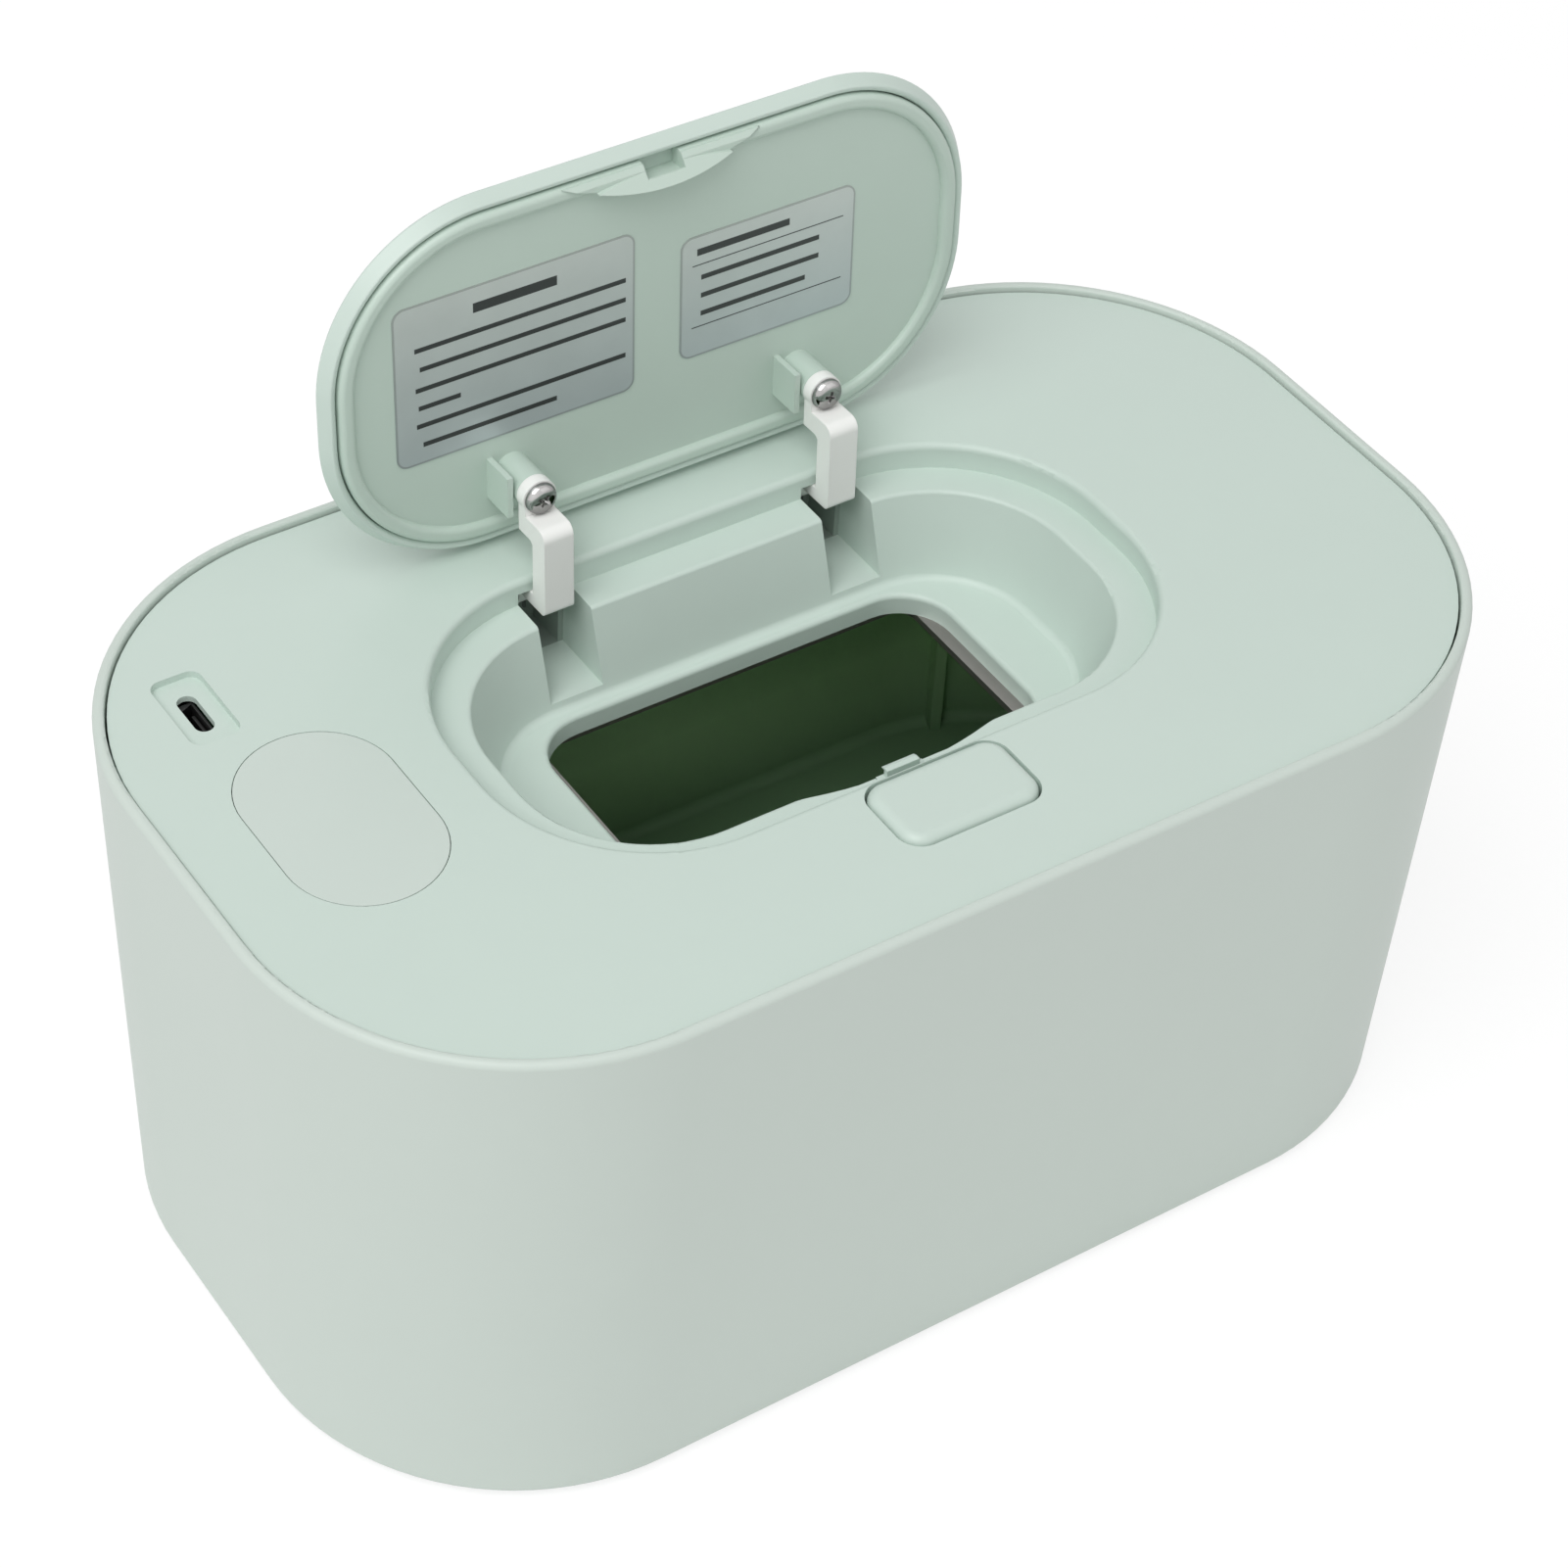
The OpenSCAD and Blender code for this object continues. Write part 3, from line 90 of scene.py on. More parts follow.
LABEL_SILVER = (0.610, 0.650, 0.630)
# Painted reflection: the darker, bluer end of the labels' sheen.
LABEL_REFLECTION_DARK = (0.500, 0.560, 0.570)
LABEL_INK = (0.050, 0.055, 0.055)
WHITE = (1.0, 1.0, 1.0, 1.0)

# The labels' places and sizes on the shut lid, their rounded corners and printed border, in
# millimetres, and the share of ink in the border.
LEFT_LABEL_CENTRE = (-24.8, -2.5)
LEFT_LABEL_SIZE = (41.5, 28.5)
RIGHT_LABEL_CENTRE = (20.1, -1.2)
RIGHT_LABEL_SIZE = (31.8, 22.0)
LABEL_CORNER = 2.0
BORDER_WIDTH = 0.3
BORDER_INK = 0.35


# Node tools

def add_node(tree, kind, **values):
    """Adds a node; each value goes to the socket of that name, or to the node's own setting."""
    node = tree.nodes.new(kind)
    for name, value in values.items():
        label = name.replace("_", " ")
        if label in node.inputs:
            node.inputs[label].default_value = value
        else:
            setattr(node, name, value)
    return node


def maths(tree, operation, first, second=None, clamp=False):
    """A Math node whose two inputs are sockets or numbers; returns its output."""
    node = tree.nodes.new("ShaderNodeMath")
    node.operation = operation
    node.use_clamp = clamp
    for slot, value in zip(node.inputs, (first, second)):
        if isinstance(value, bpy.types.NodeSocket):
            tree.links.new(value, slot)
        elif value is not None:
            slot.default_value = value
    return node.outputs[0]


def start_group(name, inputs, outputs):
    """A shader node group with named sockets, and its two end nodes."""
    group = bpy.data.node_groups.new(name, "ShaderNodeTree")
    for label, kind, value in inputs:
        socket = group.interface.new_socket(label, in_out="INPUT", socket_type=kind)
        if value is not None:
            socket.default_value = value
    for label, kind in outputs:
        group.interface.new_socket(label, in_out="OUTPUT", socket_type=kind)
    return group, group.nodes.new("NodeGroupInput"), group.nodes.new("NodeGroupOutput")


def noise(tree, vector, scale, detail=2.0, roughness=0.5):
    """A noise texture whose scale is a socket or a number; returns its value."""
    node = add_node(tree, "ShaderNodeTexNoise", Detail=detail, Roughness=roughness)
    tree.links.new(vector, node.inputs["Vector"])
    if isinstance(scale, bpy.types.NodeSocket):
        tree.links.new(scale, node.inputs["Scale"])
    else:
        node.inputs["Scale"].default_value = scale
    return node.outputs["Fac"]


# Noise scales per metre, and how sharply the painted highlight on an edge shows.
BROAD_SCALE = 28.0
CLOUD_SCALE = 140.0
PATCH_SCALE = 350.0
EDGE_HIGHLIGHT_GAIN = 6.0
# Scratches run along Y, where the noise is drawn out.
SCRATCH_STRETCH = (1.0, 0.12, 1.0)


def build_moulding_group():
    """Moulded plastic: drifting tone, a painted highlight that makes rounded edges paler, fine grain
    and flow in the gloss.
    """
    tree, start, end = start_group(
        "moulded_plastic",
        [
            ("Tone", "NodeSocketColor", (0.6, 0.7, 0.64, 1.0)),
            ("Tone Drift", "NodeSocketFloat", 0.03),
            ("Edge Radius", "NodeSocketFloat", 0.0003),
            ("Edge Lift", "NodeSocketFloat", 0.10),
            ("Gloss Base", "NodeSocketFloat", 0.42),
            ("Gloss Drift", "NodeSocketFloat", 0.08),
            ("Grain Scale", "NodeSocketFloat", 2600.0),
        ],
        [
            ("Color", "NodeSocketColor"),
            ("Roughness", "NodeSocketFloat"),
            ("Grain", "NodeSocketFloat"),
            ("Normal", "NodeSocketVector"),
        ],
    )
    place = tree.nodes.new("ShaderNodeTexCoord").outputs["Object"]
    broad = noise(tree, place, BROAD_SCALE, 3.0, 0.55)
    cloudy = noise(tree, place, CLOUD_SCALE, 4.0, 0.6)
    grain = noise(tree, place, start.outputs["Grain Scale"], 2.0, 0.6)
    bevel = add_node(tree, "ShaderNodeBevel", samples=4)
    tree.links.new(start.outputs["Edge Radius"], bevel.inputs["Radius"])
    facing = add_node(tree, "ShaderNodeVectorMath", operation="DOT_PRODUCT")
    tree.links.new(bevel.outputs["Normal"], facing.inputs[0])
    tree.links.new(tree.nodes.new("ShaderNodeNewGeometry").outputs["Normal"], facing.inputs[1])
    # Painted highlight: rounded edges are drawn paler through this edge mask.
    edge = maths(tree, "SUBTRACT", 1.0, facing.outputs["Value"], clamp=True)
    edge = maths(tree, "MULTIPLY", edge, EDGE_HIGHLIGHT_GAIN, clamp=True)
    edge_highlight = maths(tree, "MULTIPLY", edge, start.outputs["Edge Lift"])
    broad = maths(tree, "SUBTRACT", broad, 0.5)
    cloudy = maths(tree, "SUBTRACT", cloudy, 0.5)
    drift = maths(tree, "MULTIPLY", broad, start.outputs["Tone Drift"])
    fine = maths(tree, "MULTIPLY", cloudy, start.outputs["Tone Drift"])
    level = maths(tree, "ADD", maths(tree, "ADD", drift, fine), edge_highlight)
    level = maths(tree, "ADD", level, 1.0)
    tone = add_node(tree, "ShaderNodeVectorMath", operation="SCALE")
    tree.links.new(start.outputs["Tone"], tone.inputs[0])
    tree.links.new(level, tone.inputs["Scale"])
    tree.links.new(tone.outputs["Vector"], end.inputs["Color"])
    gloss = maths(tree, "MULTIPLY", cloudy, start.outputs["Gloss Drift"])
    tree.links.new(maths(tree, "ADD", gloss, start.outputs["Gloss Base"]), end.inputs["Roughness"])
    tree.links.new(grain, end.inputs["Grain"])
    tree.links.new(bevel.outputs["Normal"], end.inputs["Normal"])
    return tree


def build_metal_group():
    """Worked metal: short scratches, tarnish patches and a polish that varies."""
    tree, start, end = start_group(
        "worked_metal",
        [
            ("Tone", "NodeSocketColor", (0.6, 0.6, 0.6, 1.0)),
            ("Tarnish", "NodeSocketFloat", 0.15),
            ("Polish Base", "NodeSocketFloat", 0.25),
            ("Polish Drift", "NodeSocketFloat", 0.15),
            ("Scratch Scale", "NodeSocketFloat", 900.0),
        ],
        [
            ("Color", "NodeSocketColor"),
            ("Roughness", "NodeSocketFloat"),
            ("Scratches", "NodeSocketFloat"),
        ],
    )
    place = tree.nodes.new("ShaderNodeTexCoord").outputs["Object"]
    stretch = add_node(tree, "ShaderNodeMapping", Scale=SCRATCH_STRETCH)
    tree.links.new(place, stretch.inputs["Vector"])
    scratches = noise(tree, stretch.outputs["Vector"], start.outputs["Scratch Scale"], 3.0, 0.7)
    patches = noise(tree, place, PATCH_SCALE, 3.0, 0.6)
    dull = maths(tree, "MULTIPLY", patches, start.outputs["Tarnish"])
    level = maths(tree, "SUBTRACT", 1.0, dull)
    tone = add_node(tree, "ShaderNodeVectorMath", operation="SCALE")
    tree.links.new(start.outputs["Tone"], tone.inputs[0])
    tree.links.new(level, tone.inputs["Scale"])
    tree.links.new(tone.outputs["Vector"], end.inputs["Color"])
    polish = maths(tree, "SUBTRACT", scratches, 0.5)
    polish = maths(tree, "MULTIPLY", polish, start.outputs["Polish Drift"])
    tree.links.new(maths(tree, "ADD", polish, start.outputs["Polish Base"]), end.inputs["Roughness"])
    tree.links.new(scratches, end.inputs["Scratches"])
    return tree


def build_bar_group():
    """A plain printed bar on a label: 1 inside it and 0 outside. Sizes are in metres."""
    tree, start, end = start_group(
        "printed_bar",
        [
            ("Place", "NodeSocketVector", None),
            ("Centre", "NodeSocketVector", None),
            ("Half Length", "NodeSocketFloat", 0.01),
            ("Half Height", "NodeSocketFloat", 0.0003),
        ],
        [("Mask", "NodeSocketFloat")],
    )
    offset = add_node(tree, "ShaderNodeVectorMath", operation="SUBTRACT")
    tree.links.new(start.outputs["Place"], offset.inputs[0])
    tree.links.new(start.outputs["Centre"], offset.inputs[1])
    parts = tree.nodes.new("ShaderNodeSeparateXYZ")
    tree.links.new(offset.outputs["Vector"], parts.inputs["Vector"])
    along = maths(tree, "ABSOLUTE", parts.outputs["X"])
    along = maths(tree, "LESS_THAN", along, start.outputs["Half Length"])
    across = maths(tree, "ABSOLUTE", parts.outputs["Y"])
    across = maths(tree, "LESS_THAN", across, start.outputs["Half Height"])
    tree.links.new(maths(tree, "MULTIPLY", along, across), end.inputs["Mask"])
    return tree


def build_border_group():
    """The border of a label: 1 along its rounded edge and 0 inside it. Sizes are in metres."""
    tree, start, end = start_group(
        "printed_border",
        [
            ("Place", "NodeSocketVector", None),
            ("Core Half Size", "NodeSocketVector", None),
            ("Inner Radius", "NodeSocketFloat", 0.0016),
        ],
        [("Mask", "NodeSocketFloat")],
    )
    last = start.outputs["Place"]
    for operation, other in (
            ("MULTIPLY", (1.0, 1.0, 0.0)), ("ABSOLUTE", None),
            ("SUBTRACT", start.outputs["Core Half Size"]), ("MAXIMUM", (0.0, 0.0, 0.0)),
            ("LENGTH", None)):
        step = add_node(tree, "ShaderNodeVectorMath", operation=operation)
        tree.links.new(last, step.inputs[0])
        if isinstance(other, bpy.types.NodeSocket):
            tree.links.new(other, step.inputs[1])
        elif other is not None:
            step.inputs[1].default_value = other
        last = step.outputs["Value" if operation == "LENGTH" else "Vector"]
    outside = maths(tree, "GREATER_THAN", last, start.outputs["Inner Radius"])
    tree.links.new(outside, end.inputs["Mask"])
    return tree


MOULDING = build_moulding_group()
METALWORK = build_metal_group()
PRINTED_BAR = build_bar_group()
PRINTED_BORDER = build_border_group()


# Finishes

def new_finish(name):
    """An empty material with a Principled shader; returns the material, its tree and the shader."""
    finish = bpy.data.materials.new(name)
    finish.use_nodes = True
    tree = finish.node_tree
    tree.nodes.clear()
    shader = tree.nodes.new("ShaderNodeBsdfPrincipled")
    out = tree.nodes.new("ShaderNodeOutputMaterial")
    tree.links.new(shader.outputs["BSDF"], out.inputs["Surface"])
    return finish, tree, shader


def use_group(tree, group, **values):
    """Places a node group in a material with this material's own values."""
    node = tree.nodes.new("ShaderNodeGroup")
    node.node_tree = group
    for name, value in values.items():
        node.inputs[name.replace("_", " ")].default_value = value
    return node


def bump(tree, shader, height, depth, strength, normal=None):
    """Feeds a height through a Bump node into the shader's normal."""
    node = add_node(tree, "ShaderNodeBump", Strength=strength, Distance=depth)
    tree.links.new(height, node.inputs["Height"])
    if normal is not None:
        tree.links.new(normal, node.inputs["Normal"])
    tree.links.new(node.outputs["Normal"], shader.inputs["Normal"])


def plastic(name, tone, gloss=0.42, edge=0.3, grain=2600.0, depth=0.000010):
    """Moulded plastic in one tone; edge is the rounding of its corners in millimetres, which also sets
    the width of the painted highlight along them.
    """
    finish, tree, shader = new_finish(name)
    shader.inputs["Specular IOR Level"].default_value = 0.45
    body = use_group(
        tree, MOULDING, Tone=(*tone, 1.0), Tone_Drift=0.02, Edge_Radius=edge * MM, Edge_Lift=0.08,
        Gloss_Base=gloss, Gloss_Drift=0.08, Grain_Scale=grain)
    tree.links.new(body.outputs["Color"], shader.inputs["Base Color"])
    tree.links.new(body.outputs["Roughness"], shader.inputs["Roughness"])
    bump(tree, shader, body.outputs["Grain"], depth, 0.35, body.outputs["Normal"])
    return finish


def shaded_tub_plastic(name, shaded_tone, own_tone, low, high, gloss):
    """Plastic with painted shade: its tone goes over from the shaded tone low down to its own tone
    higher up, between two heights in millimetres.
    """
    finish = plastic(name, own_tone, gloss=gloss, edge=0.0)
    tree = finish.node_tree
    body = next(node for node in tree.nodes if node.bl_idname == "ShaderNodeGroup")
    parts = tree.nodes.new("ShaderNodeSeparateXYZ")
    tree.links.new(tree.nodes.new("ShaderNodeTexCoord").outputs["Object"], parts.inputs["Vector"])
    rise = maths(tree, "SUBTRACT", parts.outputs["Z"], low * MM)
    rise = maths(tree, "DIVIDE", rise, (high - low) * MM, clamp=True)
    blend = add_node(tree, "ShaderNodeMix", data_type="RGBA")
    tree.links.new(rise, blend.inputs["Factor"])
    blend.inputs["A"].default_value = (*shaded_tone, 1.0)
    blend.inputs["B"].default_value = (*own_tone, 1.0)
    tree.links.new(blend.outputs["Result"], body.inputs["Tone"])
    return finish


def metal(name, tone, polish, tarnish=0.12, scratch=900.0, dark_reflection_tone=1.0):
    """Bare or plated metal with scratches and a little tarnish.
    Dark reflection tone is the share of the tone that is left where the surface turns away from the
    view: a painted dark reflection."""
    finish, tree, shader = new_finish(name)
    shader.inputs["Metallic"].default_value = 1.0
    body = use_group(
        tree, METALWORK, Tone=(*tone, 1.0), Tarnish=tarnish, Polish_Base=polish,
        Polish_Drift=0.12, Scratch_Scale=scratch)
    colour = body.outputs["Color"]
    # Painted reflection: the colour darkens where the surface turns away from the view.
    if dark_reflection_tone < 1.0:
        turned = add_node(tree, "ShaderNodeLayerWeight", Blend=0.75)
        painted_darkening = maths(tree, "MULTIPLY", turned.outputs["Facing"], 1.0 - dark_reflection_tone)
        scaled = add_node(tree, "ShaderNodeVectorMath", operation="SCALE")
        tree.links.new(colour, scaled.inputs[0])
        tree.links.new(maths(tree, "SUBTRACT", 1.0, painted_darkening), scaled.inputs["Scale"])
        colour = scaled.outputs["Vector"]
    tree.links.new(colour, shader.inputs["Base Color"])
    tree.links.new(body.outputs["Roughness"], shader.inputs["Roughness"])
    bump(tree, shader, body.outputs["Scratches"], 0.000006, 0.3)
    return finish


def label_film(name, centre, size, bars):
    """Silvery label film printed with plain bars, with a painted reflection that is lighter at its top
    and darker and bluer towards its bottom. Centre and size are on the shut lid in millimetres.
    A bar is its centre, half length and half height in millimetres from the label's centre."""
    finish, tree, shader = new_finish(name)
    shader.inputs["Metallic"].default_value = 0.35
    place = tree.nodes.new("ShaderNodeTexCoord").outputs["Object"]
    turn = Matrix.Rotation(-LID_OPEN, 3, "X")
    middle = LID_SWING @ Vector((centre[0] * MM, centre[1] * MM, LID_FACE_Z * MM))
    lay_flat = add_node(
        tree, "ShaderNodeMapping", Rotation=(-LID_OPEN, 0.0, 0.0), Location=tuple(-(turn @ middle)))
    tree.links.new(place, lay_flat.inputs["Vector"])
    flat = lay_flat.outputs["Vector"]
    ink = None
    for x, y, half_length, half_height in bars:
        bar = use_group(
            tree, PRINTED_BAR, Centre=(x * MM, -y * MM, 0.0),
            Half_Length=half_length * MM, Half_Height=half_height * MM)
        tree.links.new(flat, bar.inputs["Place"])
        mask = bar.outputs["Mask"]
        ink = mask if ink is None else maths(tree, "MAXIMUM", ink, mask)
    film = use_group(
        tree, MOULDING, Tone_Drift=0.10, Edge_Radius=0.0001, Edge_Lift=0.05, Gloss_Base=0.34,
        Gloss_Drift=0.10, Grain_Scale=4000.0)
    # Painted reflection: the film's tone runs from silver to a darker, bluer tone across the label.
    parts = tree.nodes.new("ShaderNodeSeparateXYZ")
    tree.links.new(flat, parts.inputs["Vector"])
    sheen_fade = maths(tree, "DIVIDE", parts.outputs["Y"], size[1] * MM)
    sheen_fade = maths(tree, "ADD", sheen_fade, 0.5, clamp=True)
    painted_sheen = add_node(tree, "ShaderNodeMix", data_type="RGBA")
    tree.links.new(sheen_fade, painted_sheen.inputs["Factor"])
    painted_sheen.inputs["A"].default_value = (*LABEL_SILVER, 1.0)
    painted_sheen.inputs["B"].default_value = (*LABEL_REFLECTION_DARK, 1.0)
    tree.links.new(painted_sheen.outputs["Result"], film.inputs["Tone"])
    core = [side / 2 - LABEL_CORNER for side in size]
    border = use_group(
        tree, PRINTED_BORDER, Core_Half_Size=(core[0] * MM, core[1] * MM, 0.0),
        Inner_Radius=(LABEL_CORNER - BORDER_WIDTH) * MM)
    tree.links.new(flat, border.inputs["Place"])
    ink = maths(tree, "MAXIMUM", ink, maths(tree, "MULTIPLY", border.outputs["Mask"], BORDER_INK))
    blend = add_node(tree, "ShaderNodeMix", data_type="RGBA")
    tree.links.new(ink, blend.inputs["Factor"])
    tree.links.new(film.outputs["Color"], blend.inputs["A"])
    blend.inputs["B"].default_value = (*LABEL_INK, 1.0)
    tree.links.new(blend.outputs["Result"], shader.inputs["Base Color"])
    tree.links.new(film.outputs["Roughness"], shader.inputs["Roughness"])
    bump(tree, shader, film.outputs["Grain"], 0.000004, 0.3)
    return finish


# The plain bars that stand for the labels' rows of print.
LEFT_BARS = [
    (0.0, 10.4, 7.2, 0.85), (1.0, 6.2, 18.2, 0.42), (1.4, 2.7, 17.8, 0.42), (1.0, -0.9, 18.2, 0.42),
    (-13.2, -4.2, 3.6, 0.42), (1.0, -7.4, 18.2, 0.42), (-4.6, -10.9, 11.6, 0.42),
]
RIGHT_BARS = [
    (-4.6, 8.0, 8.4, 0.62), (0.0, 5.7, 13.8, 0.10), (-1.4, 3.3, 10.8, 0.45),
    (-1.4, 0.0, 10.8, 0.45), (-2.6, -3.3, 9.6, 0.45), (0.0, -5.6, 13.8, 0.10),
]

# The heights between which the tub's painted shade, darkest near its floor, fades out, in millimetres.
TUB_SHADE_FULL_BELOW = 5.0
TUB_SHADE_GONE_ABOVE = 24.0

FINISHES = {
    "outer_shell": plastic("mint_shell", MINT_SHELL, gloss=0.46, edge=0.0),
    "top_panel": plastic("mint_panel", MINT, gloss=0.42, edge=0.0),
    "lid_outer": plastic("mint_lid", MINT, gloss=0.40, edge=0.0),
    "lid_inner": plastic("mint_lid_inner", MINT_LID_INNER_SHADED, gloss=0.36, edge=0.25),
    "release_button": plastic("mint_button", MINT, gloss=0.38, edge=0.3),
    "touch_window": plastic("window_mint", MINT_WINDOW, gloss=0.30, edge=0.12, depth=0.000003),
    "inner_liner": shaded_tub_plastic(
        "green_liner", LINER_PAINTED_SHADE, LINER_HIGH, TUB_SHADE_FULL_BELOW, TUB_SHADE_GONE_ABOVE, gloss=0.55),
    "rubber_feet": plastic(
        "foot_rubber", FOOT_DARK, gloss=0.70, edge=0.3, grain=1500.0, depth=0.00003),
    "hinge_arms": plastic("hinge_white", ARM_WHITE, gloss=0.35, edge=0.25),
    "housings": plastic("housing_grey", HOUSING_PAINTED_SHADE, gloss=0.45, edge=0.2),
    "latch_frame": plastic("frame_white", FRAME_WHITE, gloss=0.45, edge=0.25),
    "heating_film": plastic("amber_film", FILM_AMBER, gloss=0.20, edge=0.1),
    "insulation_pad": plastic(
        "pad_foam", PAD_CREAM, gloss=0.90, edge=0.5, grain=900.0, depth=0.0002),
    "cover_seal": plastic("clear_silicone", SEAL_PALE, gloss=0.40, edge=0.3),
    "control_board": plastic("board_green", BOARD_GREEN, gloss=0.25, edge=0.1),
    "micro_usb_socket": plastic("port_black", PORT_BLACK, gloss=0.35, edge=0.1),
    "light_display": plastic("display_white", DISPLAY_WHITE, gloss=0.30, edge=0.2),
    "heater_wires": plastic("wire_red", WIRE_RED, gloss=0.40, edge=0.1),
    "heater_plate": metal("heater_metal", HEATER_GREY, 0.45),
    "screws": metal("screw_steel", STEEL, 0.32),
    "springs": metal("spring_steel", STEEL, 0.25),
    "hinge_springs": metal("spring_dark", SPRING_DARK, 0.35),
    # Painted reflection: the chrome is darkened where it turns away, and its heavy tarnish is partly
    # real tarnish and partly painted dark reflection.
    "lid_screw": metal(
        "screw_chrome", CHROME, 0.10, tarnish=0.55, scratch=1500.0, dark_reflection_tone=0.35),
    "left_label": label_film("label_left", LEFT_LABEL_CENTRE, LEFT_LABEL_SIZE, LEFT_BARS),
    "right_label": label_film("label_right", RIGHT_LABEL_CENTRE, RIGHT_LABEL_SIZE, RIGHT_BARS),
}

SHARED_FINISHES = {
    "hinge_arms": ["left_hinge_arm", "right_hinge_arm"],
    "housings": ["left_hinge_housing", "right_hinge_housing"],
    "release_button": ["latch_slider"],
    "latch_frame": ["under_cover"],
    "screws": [
        "cover_screws", "board_screws", "housing_screws", "frame_screws", "thermal_fuse"],
    "springs": ["hinge_pins", "button_springs", "latch_spring", "touch_spring"],
    "micro_usb_socket": ["temperature_sensor"],
}


def dress(node, finish):
    """Gives a CAD node a finish."""
    slots = frame["nodes"][node].data.materials
    slots.clear()
    slots.append(finish)


for name, finish in FINISHES.items():
    if name in frame["nodes"]:
        dress(name, finish)
for name, nodes in SHARED_FINISHES.items():
    for node in nodes:
        dress(node, FINISHES[name])


# New pieces

# The driver recess, in millimetres: its arms' length, width and depth, and how far they narrow.
CROSS_SIZE = (2.9, 0.62, 1.6)
CROSS_TAPER_LONG = 0.45
CROSS_TAPER_WIDE = 0.7

# The ejector marks, in millimetres: radius, width of the sloping edge, and heights in Z from the
# lid's inner face, which looks down on the shut lid. So a mark is a disc that stands a little out
# of the face, and its foot ends inside the lid.
MARK_RADIUS = 2.5
MARK_EDGE = 0.22
MARK_DISC_Z = -0.045
MARK_FOOT_Z = 0.01
MARK_SPLIT = 0.1


def finish_piece(name, bm, finish, body):
    """Makes an object of a bmesh, gives it its finish and lets it ride on its body."""
    bmesh.ops.recalc_face_normals(bm, faces=bm.faces)
    mesh = bpy.data.meshes.new(name)
    bm.to_mesh(mesh)
    bm.free()
    mesh.materials.append(finish)
    for face in mesh.polygons:
        face.use_smooth = True
    piece = bpy.data.objects.new(name, mesh)
    bpy.context.scene.collection.objects.link(piece)
    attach(piece, body)
    return piece


def spun_profile(bm, points, steps=48):
    """Spins a profile of (radius, height) points, in millimetres, round Z."""
    verts = [bm.verts.new((r * MM, 0.0, z * MM)) for r, z in points]
    edges = [bm.edges.new(pair) for pair in zip(verts, verts[1:])]
    bmesh.ops.spin(
        bm, geom=verts + edges, cent=(0.0, 0.0, 0.0), axis=(0.0, 0.0, 1.0), angle=math.tau,
        steps=steps, use_merge=True)
    bmesh.ops.remove_doubles(bm, verts=bm.verts, dist=0.001 * MM)


def cross_cutter():
    """The tapered cross that cuts a driver recess into a screw head, as a mesh."""
    bm = bmesh.new()
    for turn in (0.0, math.pi / 2):
        made = bmesh.ops.create_cube(bm, size=1.0)["verts"]
        bmesh.ops.scale(bm, vec=[side * MM for side in CROSS_SIZE], verts=made)
        for vert in made:
            if vert.co.z > 0:
                vert.co.x *= CROSS_TAPER_LONG
                vert.co.y *= CROSS_TAPER_WIDE
        bmesh.ops.rotate(bm, cent=(0, 0, 0), matrix=Matrix.Rotation(turn, 3, "Z"), verts=made)
    mesh = bpy.data.meshes.new("driver_cross")
    bm.to_mesh(mesh)
    bm.free()
    return mesh


def cut_with(piece, cutter_mesh, place):
    """Cuts a mesh out of a piece with an exact boolean, and applies it."""
    cutter = bpy.data.objects.new("driver_cutter", cutter_mesh)
    cutter.matrix_world = place
    bpy.context.scene.collection.objects.link(cutter)
    cut = piece.modifiers.new("recess", "BOOLEAN")
    cut.operation = "DIFFERENCE"
    cut.solver = "EXACT"
    cut.use_self = True
    cut.object = cutter
    bpy.context.view_layer.update()
    evaluated = piece.evaluated_get(bpy.context.evaluated_depsgraph_get())
    shaped = bpy.data.meshes.new_from_object(evaluated)
    piece.modifiers.clear()
    piece.data = shaped
    bpy.data.objects.remove(cutter)


# A pan head whose top faces -Z on the shut lid, with a short neck in its boss.
SCREW_HEAD = 1.50
SCREW_PROFILE = [
    (0.0, -SCREW_HEAD), (0.9, -1.49), (1.5, -1.43), (2.0, -1.28), (2.35, -1.02), (2.56, -0.68),
    (2.65, -0.30), (2.65, -0.06), (2.58, 0.0), (1.1, 0.0), (1.1, 1.2), (0.0, 1.2),
]
# The side that each screw sits on, and how far it is turned in radians.
SCREW_TURNS = ((-1, 0.62), (1, 0.30))
SCREW_EDGE = 0.05
SCREW_EDGE_FROM = math.radians(28)


def build_lid_screws():
    """The two chrome screws of the lid, with their driver recesses."""
    bm = bmesh.new()
    for side, turn in SCREW_TURNS:
        screw = bmesh.new()
        spun_profile(screw, SCREW_PROFILE)
        single = bpy.data.meshes.new("lid_screw")
        bmesh.ops.recalc_face_normals(screw, faces=screw.faces)
        screw.to_mesh(single)
        screw.free()
        piece = bpy.data.objects.new("lid_screw_single", single)
        bpy.context.scene.collection.objects.link(piece)
        recess = Matrix.Rotation(turn, 4, "Z") @ Matrix.Translation((0, 0, -SCREW_HEAD * MM))
        cut_with(piece, cross_cutter(), recess)
        cut = piece.data
        seat = Matrix.Translation(
            (side * LID_SCREW_X * MM, LID_SCREW_Y * MM, LID_SCREW_SEAT_Z * MM))
        cut.transform(LID_SWING @ seat)
        bm.from_mesh(cut)
        bpy.data.objects.remove(piece)
    piece = finish_piece("lid_screw_heads", bm, FINISHES["lid_screw"], "lid")
    bevel = piece.modifiers.new("soft_edges", "BEVEL")
    bevel.width = SCREW_EDGE * MM
    bevel.segments = 2
    bevel.limit_method = "ANGLE"
    bevel.angle_limit = SCREW_EDGE_FROM
    piece.data.shade_smooth()
    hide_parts("lid_screws")


